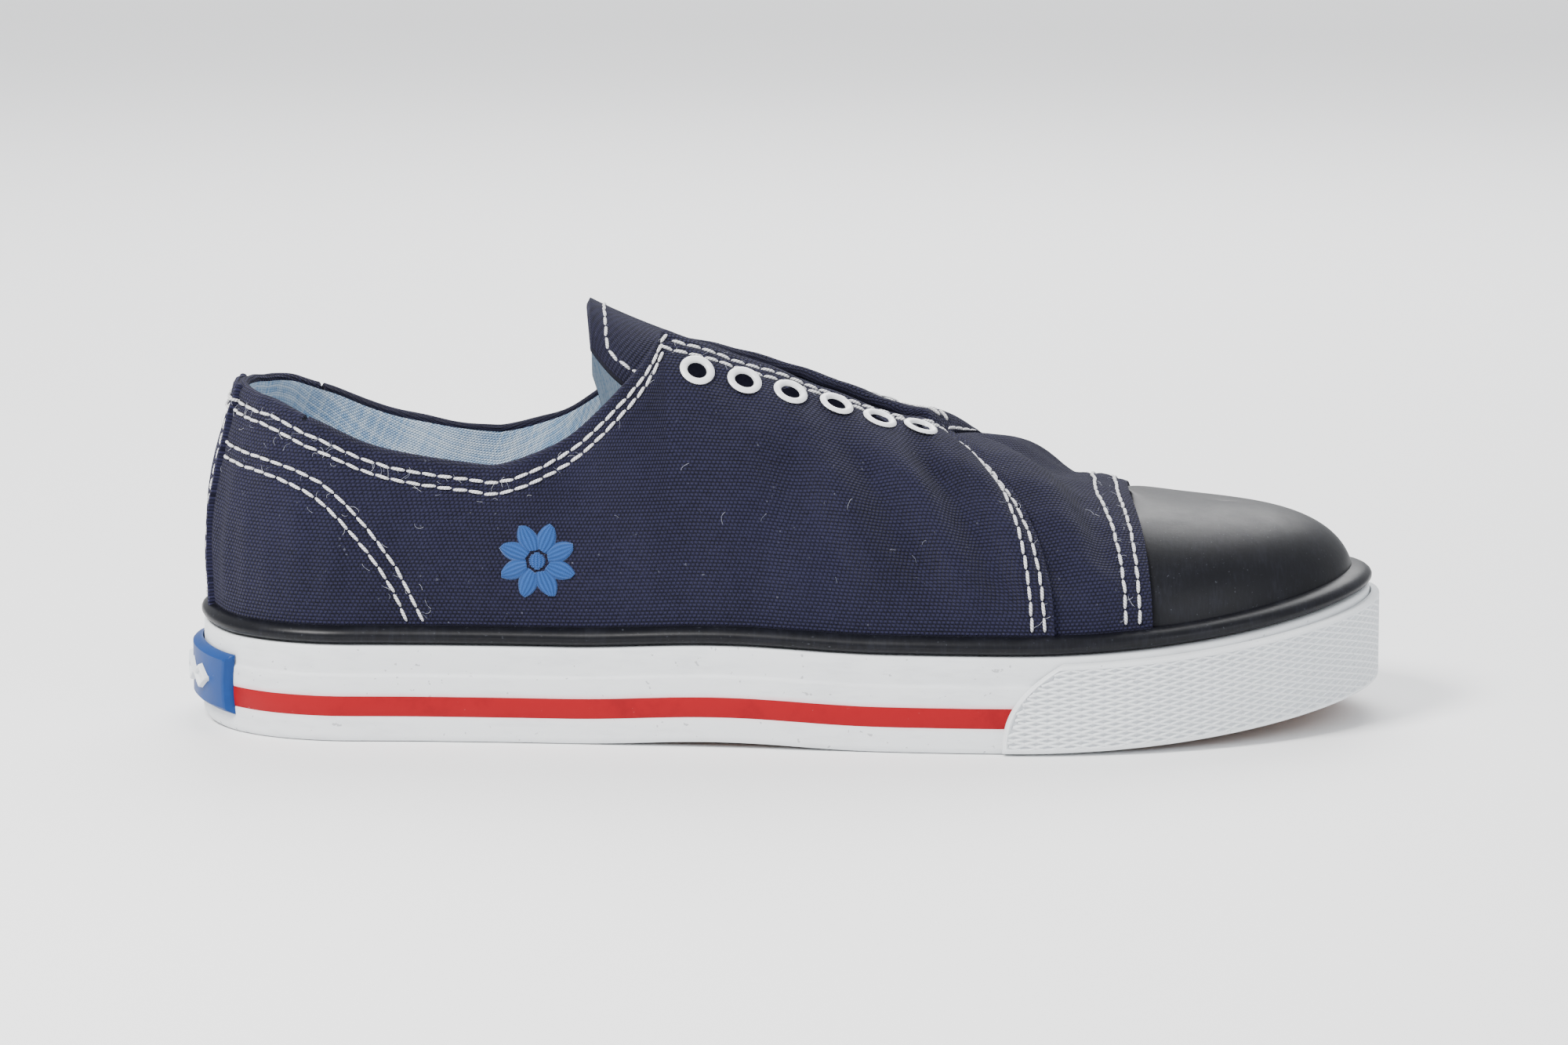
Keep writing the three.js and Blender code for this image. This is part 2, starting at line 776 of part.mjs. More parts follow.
// The tongue lies under the facings and reaches above them.
function tongue() {
  const from = stationAt(tongueTopAt);
  const to = stationAt(tongueBaseAt);
  const between = stations.filter(
    (a) => a > from + tongueRowClear && a < to - tongueRowClear,
  );
  const tip = mix(from, between[0], tongueTipRow);
  const rows = [];
  for (const station of [from, tip, ...between, to]) {
    const t = (station - from) / (to - from);
    const halfWidth = mix(tongueTopWidth, tongueBaseWidth, t) / 2;
    const round = Math.min(1, tongueTopRound + tongueRoundRate * t);
    const rounded = Math.sqrt(1 - (1 - round) ** 2);
    const layer = (offset) => {
      const points = [];
      for (const side of [LATERAL, MEDIAL]) {
        const low = liftAtReach(side, station, halfWidth * rounded);
        const half = [];
        for (let c = 0; c <= tongueColumns; c++) {
          const lift = mix(low, QUARTER_TURN, c / tongueColumns);
          half.push(overLast(side, station, lift, offset));
        }
        points.push(...(side === LATERAL ? half : half.reverse().slice(1)));
      }
      return points;
    };
    const below = mix(tongueTopGap, tongueGap, ease(t / tongueLooseShare));
    const top = layer(-below);
    const bottom = layer(-below - tongueWall).reverse();
    rows.push([...top, ...bottom]);
  }
  return loopSolid(rows);
}

// The white side band, with a groove for the stripe and the step of its outer tape.
function sideBand() {
  const grooveDepth = stripeDepth + gap;
  const grooveLow = stripeLow - gap;
  const grooveHigh = stripeLow + stripeHeight + gap;
  const section = [
    [bandWall, 0],
    [bandBottomRound, 0],
    [0, bandBottomRound],
    [0, grooveLow],
    [grooveDepth, grooveLow],
    [grooveDepth, grooveHigh],
    [0, grooveHigh],
    [0, bandStepHeight],
    [bandStepDepth, bandStepHeight + bandStepDepth],
    [bandStepDepth, bandHeight - bandTopRound],
    [bandStepDepth + bandTopRound, bandHeight],
    [bandWall, bandHeight],
  ];
  return ringSolid(section);
}

// A ring round the sole from a closed section of [inset from the outline, height over the underside].
function ringSolid(section) {
  const rows = ringRows().map(({ side, station }) =>
    section.map(([inset, height]) => sidePoint(side, station, inset, height)),
  );
  return loopSolid(rows, { joined: true });
}

function stripe() {
  return ringSolid([
    [stripeDepth, stripeLow],
    [0, stripeLow],
    [0, stripeLow + stripeHeight],
    [stripeDepth, stripeLow + stripeHeight],
  ]);
}

// The outer face that the bead lies against. It eases past each seam, where the wall gets thinner.
function beadSeat(station) {
  const share = shareAt(station);
  const easeLength = beadEaseLength / soleLength;
  const cap = liningWall + gap + capWall;
  const past = (seam) => ease((share - seam - 2 * seamStep) / easeLength);
  return (
    mix(quarterWall, vampWall, past(throatBaseAt)) +
    (cap - vampWall) * past(capEdgeAt) +
    gap
  );
}

// The dark bead that hides the joint between side band and upper.
function bead() {
  const low = bandHeight + gap;
  const rows = ringRows().map(({ side, station }) => {
    const out = (inset, height) =>
      sidePoint(side, station, inset, bandHeight + height);
    const seat = beadSeat(station);
    const lift = liftAtRise(station, beadHeight);
    const top = overLast(side, station, lift, seat);
    return [
      sidePoint(side, station, lastInset - seat, low),
      out(beadFoot, gap),
      ...beadProfile.map(([inset, high]) => out(inset, high * beadHeight)),
      top,
    ];
  });
  return loopSolid(rows, { joined: true });
}

// A flat run of points across the sole at every station, from the outer side to the inner one.
function ladder(inset, height) {
  return stations.map((station) => [
    sidePoint(LATERAL, station, inset, height),
    sidePoint(MEDIAL, station, inset, height),
  ]);
}

// A plate that fills the outline: rings of [inset, height] from its top edge to its under edge.
function plateSolid(rings) {
  const levels = rings.map(([inset, height]) => ladder(inset, height));
  const rows = stations.map((_, i) => [
    ...levels.map((level) => level[i][0]),
    ...levels.map((level) => level[i][1]).reverse(),
  ]);
  return loopSolid(rows, { capFirst: false, capLast: false });
}

function treadBar({ at, across, long, turn }) {
  const half = (long * ballWidth) / 2;
  const radius = treadBarWidth / 2;
  const shape = new THREE.Shape();
  shape.absarc(half - radius, 0, radius, -QUARTER_TURN, QUARTER_TURN);
  shape.absarc(radius - half, 0, radius, QUARTER_TURN, 3 * QUARTER_TURN);
  const bar = new THREE.ExtrudeGeometry(shape, {
    depth: treadDepth + treadBarSink,
    bevelEnabled: false,
    curveSegments: treadBarEndPoints,
  });
  const x = at * soleLength;
  const run = 1;
  const slope = Math.atan((soleBottom(x + run) - soleBottom(x - run)) / (2 * run));
  bar.deleteAttribute("uv");
  bar.rotateZ(THREE.MathUtils.degToRad(turn));
  bar.rotateY(-slope);
  return bar.translate(x, across * halfBall, soleBottom(x) + treadBarRelief);
}

function outsole() {
  const inset = bandWall + gap;
  let solid = toManifold(
    plateSolid([
      [inset, outsoleThickness],
      [inset, 0],
      [inset + treadBorder, 0],
      [inset + treadBorder + treadWallRun * treadDepth, treadDepth],
    ]),
  );
  for (const row of treadBars) solid = solid.add(toManifold(treadBar(row)));
  return fromManifold(solid);
}

function insole() {
  const inset = lastInset + gap;
  const low = outsoleThickness + gap;
  return plateSolid([
    [inset + insoleBevel, low + insoleThickness],
    [inset, low + insoleEdge * insoleThickness],
    [inset, low],
  ]);
}

// A patch that wraps an end of the sole, outside the side band. bend gives a station for a run t from -1
// on the outer side to 1 on the inner one, at a share of the patch's height.
function wrapSolid({ columns, levels, bend, low, high, inset, wall }) {
  const rows = [];
  for (let c = 0; c <= columns; c++) {
    const t = (2 * c) / columns - 1;
    const side = t < 0 ? LATERAL : MEDIAL;
    const face = (out, reversed) => {
      const chain = [];
      for (let l = 0; l <= levels; l++) {
        const share = l / levels;
        const station = bend(Math.abs(t), share, side);
        const height = mix(low, high, share);
        chain.push(sidePoint(side, station, -out, height));
      }
      return reversed ? chain.reverse() : chain;
    };
    rows.push([...face(inset + wall), ...face(inset, true)]);
  }
  return loopSolid(rows);
}

// The toe bumper's rear ends lean forward and round off at the top.
function toeBumper() {
  return wrapSolid({
    columns: bumperColumns,
    levels: bumperLevels,
    low: bumperLow,
    high: bumperLow + bumperHeight,
    inset: gap,
    wall: bumperWall,
    bend: (run, share) => {
      const lean = share ** bumperLeanPower;
      const rear = stationAt(mix(bumperRearLowAt, bumperRearHighAt, lean));
      return mix(Math.PI, rear, run);
    },
  });
}

// The station on a side whose distance from the heel's middle, along the outline, is the one given.
function heelStation(side, reach) {
  let station = 0;
  let walked = 0;
  let before = edgePoint(side, 0, 0);
  while (walked < reach) {
    station += NORMAL_STEP * 2;
    const here = edgePoint(side, station, 0);
    walked += here.distanceTo(before);
    before = here;
  }
  return station;
}

function heelBadge() {
  const ends = {
    [LATERAL]: heelStation(LATERAL, badgeReach),
    [MEDIAL]: heelStation(MEDIAL, badgeReach),
  };
  return wrapSolid({
    columns: badgeColumns,
    levels: badgeLevels,
    low: badgeLow,
    high: badgeLow + badgeHeight,
    inset: gap,
    wall: badgeWall,
    bend: (run, share, side) => {
      const bow = badgeEndBow * Math.sin(Math.PI * share);
      return run * ends[side] * (1 - bow);
    },
  });
}

// A row of linked diamonds stands on the badge.
function badgeChain() {
  const columns = 2 * chainLinks;
  const seat = gap + badgeWall + gap;
  const middle = badgeLow + badgeHeight / 2;
  const rows = [];
  for (let c = 0; c <= columns; c++) {
    const t = (2 * c) / columns - 1;
    const side = t < 0 ? LATERAL : MEDIAL;
    const station = heelStation(side, Math.abs(t) * chainReach);
    const half = (chainHeight / 2) * (c % 2 ? 1 : chainNeck);
    const corner = (out, height) =>
      sidePoint(side, station, -out, middle + height);
    rows.push([
      corner(seat, -half),
      corner(seat + chainWall, -chainFlat * half),
      corner(seat + chainWall, chainFlat * half),
      corner(seat, half),
    ]);
  }
  return loopSolid(rows);
}

// The strip over the seam at the back of the heel, from the bead to the collar.
function heelStrip() {
  const reach = stripWidth / 2;
  const low = quarterWall + gap;
  const rows = [];
  for (const t of stripRuns) {
    const side = t < 0 ? LATERAL : MEDIAL;
    const station = heelStation(side, Math.abs(t) * reach);
    const layer = (offset) => {
      const from = liftAtRise(station, beadHeight + 2 * gap);
      const to = edgeLift(side, station);
      const chain = [];
      for (let c = 0; c <= wallColumns; c++) {
        const lift = mix(from, to, c / wallColumns);
        chain.push(overLast(side, station, lift, offset));
      }
      return chain;
    };
    rows.push([...layer(low + stripWall), ...layer(low).reverse()]);
  }
  return loopSolid(rows);
}

function part(name, geometry, finish) {
  const mesh = new THREE.Mesh(geometry, finish);
  mesh.name = name;
  return mesh;
}

const shoe = new THREE.Group();
shoe.add(
  part("upper", upper(), canvas),
  part("toe_cap", toeCap(), darkRubber),
  part("heel_strip", heelStrip(), canvas),
  part("tongue", tongue(), canvas),
  part("insole", insole(), lightLining),
  part("outsole", outsole(), gumRubber),
  part("side_band", sideBand(), whiteRubber),
  part("side_stripe", stripe(), redRubber),
  part("top_bead", bead(), darkRubber),
  part("toe_bumper", toeBumper(), whiteRubber),
  part("heel_badge", heelBadge(), blueRubber),
  part("badge_chain", badgeChain(), whiteRubber),
);
const ring = eyelet();
for (const place of eyeletPlaces()) {
  shoe.add(stand(part(place.name, ring, enamel), place));
}

// The shoe's box is centred on the origin, on the floor.
const box = new THREE.Box3().setFromObject(shoe);
const middle = box.getCenter(new THREE.Vector3());
shoe.position.set(-middle.x, -middle.y, -box.min.z);

export default shoe;
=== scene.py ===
# Dresses a low canvas sneaker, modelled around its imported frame.
import math
import random

import bpy
import numpy as np
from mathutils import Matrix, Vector
from mathutils.kdtree import KDTree


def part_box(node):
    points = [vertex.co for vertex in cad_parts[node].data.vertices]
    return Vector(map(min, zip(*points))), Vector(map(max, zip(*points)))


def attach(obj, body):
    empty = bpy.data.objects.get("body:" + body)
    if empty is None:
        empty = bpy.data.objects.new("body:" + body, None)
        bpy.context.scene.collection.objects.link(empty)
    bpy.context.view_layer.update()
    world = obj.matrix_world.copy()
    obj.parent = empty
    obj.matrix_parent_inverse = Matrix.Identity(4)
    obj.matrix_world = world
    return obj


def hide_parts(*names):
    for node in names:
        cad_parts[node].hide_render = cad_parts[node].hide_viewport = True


bl_info = {
    "name": "Canvas sneaker",
    "version": (1, 0, 0),
    "blender": (4, 5, 0),
    "location": "View3D > Sidebar > Sneaker",
    "description": "Models a low canvas sneaker piece by piece around its frame",
    "category": "Object",
}

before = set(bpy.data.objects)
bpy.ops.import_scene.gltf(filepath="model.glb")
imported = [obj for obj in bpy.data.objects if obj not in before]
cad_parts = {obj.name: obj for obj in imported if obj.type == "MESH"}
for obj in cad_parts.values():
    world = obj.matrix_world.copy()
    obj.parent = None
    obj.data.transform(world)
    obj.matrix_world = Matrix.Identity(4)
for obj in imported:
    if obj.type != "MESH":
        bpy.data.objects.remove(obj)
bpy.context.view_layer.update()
BAND_LOW, BAND_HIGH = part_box("side_band")
BODY = "root"
MM = 0.001
LATERAL = -1
MEDIAL = 1
QUARTER_TURN = math.pi / 2
SMOOTH_ANGLE = math.radians(40)
STRAND_ANGLE = math.radians(80)
DOUBLES = 1e-6
ROUND_STEPS = 4
RING_ROWS = 561
RING_WOBBLE = 0.05
TINY = 1e-9
SEED = 7
EYELETS_A_SIDE = 6
COLLAR_SWEEP = 1.7
BAND_OF_BALL = 0.99

# Where features lie along the sole, as shares of its length.
THROAT_BASE_AT = 0.722
CAP_EDGE_AT = 0.807
COLLAR_CORNER_AT = 0.4
ANKLE_AT = 0.25
SPRING_START_AT = 0.68
ARCH_FROM_AT = 0.31
ARCH_TO_AT = 0.58
HEEL_ROLL_AT = 0.036
BUMPER_LOW_AT = 0.678
BUMPER_HIGH_AT = 0.728
TONGUE_TOP_AT = 0.335
TONGUE_BASE_AT = 0.76
EYELET_FIRST_AT = 0.43
EYELET_LAST_AT = 0.66

# What the pieces share, in millimetres. LINING_FOLDS is the share of the outer folds that the lining has,
# and TONGUE_TIP the share of its width that the tongue starts with.
STRIP_HALF = 10
TONGUE_TOP_WIDTH = 52
TONGUE_BASE_WIDTH = 44
TONGUE_TOP_DEPTH = 2.2
TONGUE_DEPTH = 0.85
TONGUE_THICKNESS = 1.8
TONGUE_TIP = 0.35
TONGUE_TIP_RATE = 5
TONGUE_CLEAR = 0.1
LINING_AT = 0.25
LINING_FOLDS = 0.7
WALL_FROM = 1.5
FOOT_CLEAR = 0.4
FOOT_HEIGHTS = (13, 17, 20, 22.5)

# The last's half sections, as in the part: shares of the sole's length, of the instep's rise and of the
# toe's shift, and the exponent of each section.
SECTIONS = {
    "at": (0, 0.13, 0.25, 0.36, 0.4, 0.5, 0.61, 0.722, 0.807, 0.9, 1),
    "over": (0.165, 0.2, 0.27, 0.355, 0.385, 0.46, 0.545, 0.636, 0.785, 0.835, 0.862),
    "rise": (2.5, 2.4, 2.12, 1.8, 1.7, 1.47, 1.225, 1, 0.665, 0.585, 0.54),
    "aside": (0, 0, 0, 0, 0, 0.1, 0.3, 0.5, 0.8, 0.95, 1),
    "fullness": (2, 2, 2.3, 2.5, 2.35, 2.15, 2.1, 2.15, 2.25, 2.3, 2.35),
}

# The collar's climb from the ankle to the heel, and how open the throat is, as a share of its gap.
COLLAR = {
    "at": (0, 0.03, 0.09, 0.17, 0.25),
    "high": (1, 0.97, 0.66, 0.2, 0),
}
THROAT = {
    "at": (0.4, 0.5, 0.61, 0.68, 0.71, 0.722),
    "open": (0.52, 0.48, 0.42, 0.34, 0.2, 0),
}

# Soft folds of the worn canvas, one a row: its share of the sole's length at the bead, how far it leans
# back towards the top as a share of the length, the shares of the half section between which it shows, its
# depth and width in millimetres, and its side, or 0 for both.
CREASES = (
    (0.738, 0.03, 0.12, 1.3, 2.4, 4.8, 0),
    (0.772, 0.0, 0.25, 1.3, 1.6, 4.0, 0),
    (0.692, 0.07, 0.06, 0.74, 2.6, 5.6, 0),
    (0.64, 0.12, 0.08, 0.66, 2.1, 6.5, LATERAL),
    (0.6, 0.02, 0.18, 0.6, 1.6, 8.0, MEDIAL),
    (0.56, 0.1, 0.06, 0.46, 1.4, 6.0, LATERAL),
    (0.47, -0.09, 0.12, 0.62, 1.8, 8.0, LATERAL),
    (0.44, -0.12, 0.2, 0.76, 1.5, 8.0, MEDIAL),
    (0.345, 0.09, 0.1, 0.78, 1.9, 8.0, 0),
    (0.21, -0.05, 0.16, 0.86, 1.3, 8.0, 0),
    (0.11, 0.04, 0.3, 0.86, 0.8, 7.0, 0),
)

# A crease fades over a share of the half section, between two lips that are a share of its depth and lie a
# number of its widths away.
CREASE_FADE = 0.18
CREASE_LIPS = 0.45
CREASE_LIPS_AWAY = 1.7

# The double seam round the heel counter: how far forward of the heel's back, and how far over the bead.
COUNTER_SEAMS = (
    {"forward": (55, 52, 48, 40, 32, 25, 15, 6, 0.1),
     "over": (0, 6, 14, 24, 31, 34.5, 37, 38, 38)},
    {"forward": (51, 48.5, 45, 37.5, 30, 23.5, 14.5, 6, 0.1),
     "over": (0, 6, 12.5, 21.5, 28, 31.5, 34, 35, 35)},
)

# How far the rows of stitches lie inside an edge and start over the bead, in millimetres. The tongue's row
# is given in shares of its half width and of its length.
COLLAR_ROWS = (2.8, 5.4)
FRONT_ROWS = (2.2, 5.0)
VAMP_ROWS = (3.0, 6.2)
STRIP_ROW_INSIDE = 1.7
ROW_OVER_BEAD = 0.5
TONGUE_ROW_RUN = 0.88
TONGUE_ROW_TOP = 0.035
TONGUE_ROW_END = 0.36

# The bars of the tread, as in the part.
TREAD_BARS = {
    "at": (0.1, 0.145, 0.145, 0.21, 0.21, 0.235, 0.3, 0.3, 0.45, 0.45, 0.55, 0.57,
           0.63, 0.635, 0.65, 0.7, 0.705, 0.745, 0.775, 0.78, 0.845, 0.85, 0.86),
    "across": (0, -0.28, 0.28, -0.3, 0.26, -0.03, -0.28, 0.2, -0.3, 0.16, -0.46, 0.28,
               -0.38, 0.4, 0.02, -0.48, 0.5, 0.02, -0.42, 0.48, 0.05, -0.3, 0.42),
    "long": (0.2, 0.22, 0.22, 0.22, 0.22, 0.2, 0.2, 0.2, 0.2, 0.2, 0.2, 0.2,
             0.24, 0.22, 0.2, 0.22, 0.22, 0.22, 0.2, 0.2, 0.2, 0.16, 0.16),
    "turn": (0, 30, -30, 30, -30, 0, 30, -30, 30, -30, 30, -30,
             30, -30, 0, 30, -30, 0, 30, -30, 0, 30, -30),
}

# A bar's radius and height over the underside, ring by ring, and how far its round ends lie inside it.
BAR_PROFILE = ((4.3, 2.9), (4.15, 1.2), (3.9, 0.55), (3.45, 0.32), (0.001, 0.3))
BAR_END = 4


def length_property(name, description, default_mm):
    return bpy.props.FloatProperty(
        name=name, description=description, default=default_mm * MM, unit="LENGTH")


def colour_property(name, description, default):
    return bpy.props.FloatVectorProperty(
        name=name, description=description, default=default, size=3, subtype="COLOR", min=0, max=1)


class SneakerSizes(bpy.types.PropertyGroup):
    """Lengths of the sneaker"""
    sole_length: length_property("Sole length", "Heel to toe over the side band",
                                 (BAND_HIGH.x - BAND_LOW.x) / MM)
    heel_width: length_property("Heel width", "Width of the sole at the heel", 73)
    ball_width: length_property("Ball width", "Width of the sole at the ball",
                                (BAND_HIGH.y - BAND_LOW.y) / MM / BAND_OF_BALL)
    toe_shift: length_property("Toe shift", "How far the toe leans to the inner side", 5)
    toe_spring: length_property("Toe spring", "Lift of the toe's underside", 8)
    heel_roll: length_property("Heel roll", "Lift of the heel's rear edge", 1)
    arch_rise: length_property("Arch rise", "Lift of the sole under the arch", 1.2)
    band_height: length_property("Band height", "Height of the white side band", 23)
    band_wall: length_property("Band wall", "Thickness of the side band", 3.2)
    outsole_thickness: length_property("Outsole thickness", "Height of the brown plate", 9.2)
    insole_thickness: length_property("Insole thickness", "Height of the insole", 4)
    instep_rise: length_property("Instep rise", "Ridge over the band at the throat's base", 42)
    heel_collar_rise: length_property("Heel collar rise", "Collar over the band at the heel", 55)
    ankle_collar_rise: length_property("Ankle collar rise", "Collar over the band at the ankle", 40.5)
    throat_gap: length_property("Throat gap", "Widest gap of the throat", 26)
    vamp_wall: length_property("Vamp wall", "Thickness of the vamp", 2.4)
    quarter_wall: length_property("Quarter wall", "Thickness of the quarters", 3)
    bead_height: length_property("Bead height", "Height of the dark bead", 4.4)
    bumper_height: length_property("Bumper height", "Height of the toe bumper", 20.9)
    bumper_wall: length_property("Bumper wall", "Thickness of the toe bumper", 1.7)
    weave_pitch: length_property("Weave pitch", "Distance between the canvas's knuckles", 1.05)
    stitch_length: length_property("Stitch length", "Length of a seam's stitch", 3.5)
    stitch_step: length_property("Stitch step", "Distance from stitch to stitch", 3.7)
    thread_thickness: length_property("Thread thickness", "Thickness of the seam's thread", 0.85)


class SneakerColours(bpy.types.PropertyGroup):
    """Colours of the sneaker"""
    canvas: colour_property("Canvas", "Navy canvas", (0.0112, 0.0112, 0.0268))
    lining: colour_property("Lining", "Light blue lining", (0.2, 0.34, 0.53))
    dark_rubber: colour_property("Dark rubber", "Toe cap and bead", (0.0045, 0.0048, 0.007))
    white_rubber: colour_property("White rubber", "Side band and bumper", (0.72, 0.745, 0.765))
    red_rubber: colour_property("Red rubber", "Stripe", (0.27, 0.0005, 0.0055))
    blue_rubber: colour_property("Blue rubber", "Heel badge", (0.003, 0.036, 0.165))
    gum_rubber: colour_property("Gum rubber", "Outsole", (0.31, 0.135, 0.055))
    thread: colour_property("Thread", "Seam thread", (0.8, 0.8, 0.82))
    emblem: colour_property("Emblem", "Stitched rosette", (0.014, 0.078, 0.28))
    enamel: colour_property("Enamel", "Eyelets", (0.75, 0.76, 0.78))


def sizes():
    return bpy.context.scene.sneaker_sizes


def colours():
    return bpy.context.scene.sneaker_colours


# The last

def station_at(share):
    return np.arccos(1 - 2 * np.clip(share, 0, 1))


def share_at(station):
    return (1 - np.cos(station)) / 2


def mix(a, b, t):
    return a + (b - a) * t


def ease(t):
    c = np.clip(t, 0, 1)
    return c * c * (3 - 2 * c)


def length(vectors):
    return np.linalg.norm(vectors, axis=-1)


def unit(vectors):
    return vectors / np.maximum(length(vectors), TINY)[..., None]


def walked(points):
    """The distance along a chain of points, at each of them."""
    return np.concatenate([[0], np.cumsum(length(np.diff(points, axis=0)))])


def by_side(side, read):
    """What a reading gives for the outer side or the inner one, place by place."""
    return np.where(side == LATERAL, read(LATERAL), read(MEDIAL))


def in_rows(low, high, count):
    return np.linspace(low, high, count)[:, None]


def in_columns(low, high, count):
    return np.linspace(low, high, count)[None, :]


def halves(run):
    """The side of the shoe for each place on a run from -1, on the outer side, to 1."""
    return np.where(run < 0, LATERAL, MEDIAL)


def read_rows(rows, column, station):
    """A smooth reading of one column of a table whose rows lie at shares of the sole's length."""
    x = station_at(np.array(rows["at"], float))
    y = np.array(rows[column], float)
    slope = np.diff(y) / np.diff(x)
    product = slope[:-1] * slope[1:]
    total = np.where(product > 0, slope[:-1] + slope[1:], 1)
    inner = np.where(product > 0, 2 * product / total, 0)
    tangent = np.concatenate([slope[:1], inner, slope[-1:]])
    s = np.clip(station, x[0], x[-1])
    i = np.clip(np.searchsorted(x, s, side="right") - 1, 0, len(x) - 2)
    span = x[i + 1] - x[i]
    t = (s - x[i]) / span
    rest = 1 - t
    return (y[i] * (1 + 2 * t) * rest ** 2 + tangent[i] * span * t * rest ** 2
            + y[i + 1] * t ** 2 * (3 - 2 * t) + tangent[i + 1] * span * t ** 2 * (t - 1))


class Last:
    """The shoe's last and the side of its sole, worked out in millimetres from the heel's back."""

    samples = 3001
    halvings = 40
    turn_step = 1e-3
    pace_step = 0.01
    crest_step = 0.05
    crest_from = 1.42
    gap = 0.3
    heel_bulge = 1.6
    slack_depth = 0.26
    tight_depth = 0.2
    calm_at_bead = 0.12
    calm_at_cap = 0.034

    def __init__(self):
        for name in SneakerSizes.__annotations__:
            setattr(self, name, getattr(sizes(), name) / MM)
        self.inset = self.band_wall + self.gap + self.vamp_wall
        self.half_heel = self.heel_width / 2
        self.half_ball = self.ball_width / 2
        self.table_at = np.linspace(0, math.pi, self.samples)
        self.outlines = {LATERAL: self.trace(LATERAL), MEDIAL: self.trace(MEDIAL)}
        low = self.outlines[LATERAL][0][:, 1].min()
        high = self.outlines[MEDIAL][0][:, 1].max()
        middle = (BAND_LOW.y + BAND_HIGH.y) / 2 - (low + high) / 2 * MM
        self.origin = np.array([BAND_LOW.x, middle, 0])

    def corners(self, side):
        """Each row holds the pull before a corner, the corner, and the pull after it."""
        heel, ball, toe = self.half_heel, self.half_ball, self.toe_shift
        if side == LATERAL:
            return (
                ((0, 0), (0, 0), (0, -0.56 * heel)),
                ((0.06, -heel), (0.136, -heel), (0.35, -heel)),
                ((0.56, -ball), (0.705, -ball), (0.865, -ball)),
                ((1, toe - 0.56 * ball), (1, toe), (1, toe)),
            )
        return (
            ((0, 0), (0, 0), (0, 0.56 * heel)),
            ((0.055, 0.985 * heel), (0.125, 0.985 * heel), (0.22, 0.985 * heel)),
            ((0.3, 0.84 * heel), (0.39, 0.84 * heel), (0.51, 0.84 * heel)),
            ((0.62, 0.98 * ball), (0.765, 0.98 * ball), (0.89, 0.98 * ball)),
            ((1, toe + 0.5 * ball), (1, toe), (1, toe)),
        )

    def trace(self, side):
        """The outline's points and its directions inwards, at each station of the table."""
        target = share_at(self.table_at)
        corners = np.array(self.corners(side), float)
        a, b, c, d = corners[:-1, 1], corners[:-1, 2], corners[1:, 0], corners[1:, 1]
        i = np.clip(np.searchsorted(d[:, 0], target - TINY), 0, len(d) - 1)
        a, b, c, d = a[i], b[i], c[i], d[i]
        low, high = np.zeros_like(target), np.ones_like(target)
        for _ in range(self.halvings):
            t = (low + high) / 2
            r = 1 - t
            x = a[:, 0] * r ** 3 + 3 * b[:, 0] * r * r * t + 3 * c[:, 0] * r * t * t + d[:, 0] * t ** 3
            low = np.where(x < target, t, low)
            high = np.where(x < target, high, t)
        t = ((low + high) / 2)[:, None]
        r = 1 - t
        scale = np.array([self.sole_length, 1])
        point = (a * r ** 3 + 3 * b * r * r * t + 3 * c * r * t * t + d * t ** 3) * scale
        along = unit(((b - a) * r * r + 2 * (c - b) * r * t + (d - c) * t * t) * scale)
        inward = np.stack([side * along[:, 1], -side * along[:, 0]], 1)
        return point, inward

    def edge(self, side, station, inset):
        side, station = np.broadcast_arrays(side, station)

        def line(one):
            point, inward = self.outlines[one]
            return np.stack([np.interp(station, self.table_at, point[:, k])
                             + inset * np.interp(station, self.table_at, inward[:, k]) for k in (0, 1)], -1)
        return by_side(side[..., None], line)

    def bottom(self, x):
        share = x / self.sole_length
        spring = np.maximum(0, (share - SPRING_START_AT) / (1 - SPRING_START_AT))
        heel = np.maximum(0, (HEEL_ROLL_AT - share) / HEEL_ROLL_AT)
        arch = np.clip((share - ARCH_FROM_AT) / (ARCH_TO_AT - ARCH_FROM_AT), 0, 1)
        return (self.toe_spring * spring ** 2 + self.heel_roll * heel ** 2
                + self.arch_rise * np.sin(math.pi * arch) ** 2)

    def underside(self, station):
        return self.bottom(share_at(station) * self.sole_length)

    def band_top(self, station):
        return self.underside(station) + self.band_height

    def beside(self, side, station, inset, height):
        """A point of the sole's side: inset from the outline, and a height over the underside."""
        side, station, inset, height = np.broadcast_arrays(side, station, inset, height)
        edge = self.edge(side, station, inset)
        return np.concatenate([edge, (self.underside(station) + height)[..., None]], -1)

    def ridge(self, station):
        x = read_rows(SECTIONS, "over", station) * self.sole_length
        rise = read_rows(SECTIONS, "rise", station) * self.instep_rise
        y = read_rows(SECTIONS, "aside", station) * self.toe_shift
        return np.stack([x, y, self.bottom(x) + self.band_height + rise], -1)

    def point(self, side, station, lift):
        side, station, lift = np.broadcast_arrays(side, np.asarray(station, float), lift)
        side = np.where((station < 0) | (station > math.pi), -side, side)
        station = np.abs(station)
        station = np.where(station > math.pi, 2 * math.pi - station, station)
        power = 2 / read_rows(SECTIONS, "fullness", station)
        edge = self.edge(side, station, self.inset)
        ridge = self.ridge(station)
        inwards = 1 - np.maximum(0, np.cos(lift)) ** power
        upwards = np.maximum(0, np.sin(lift)) ** power
        heel = ease(1 - share_at(station) / ANKLE_AT)
        bulge = self.heel_bulge * heel * np.sin(math.pi * np.minimum(1, 2 * upwards))
        outward = (edge - self.edge(side, station, self.inset + 1)) * bulge[..., None]
        flat = mix(edge, ridge[..., :2], inwards[..., None]) + outward
        return np.concatenate([flat, mix(self.band_top(station), ridge[..., 2], upwards)[..., None]], -1)

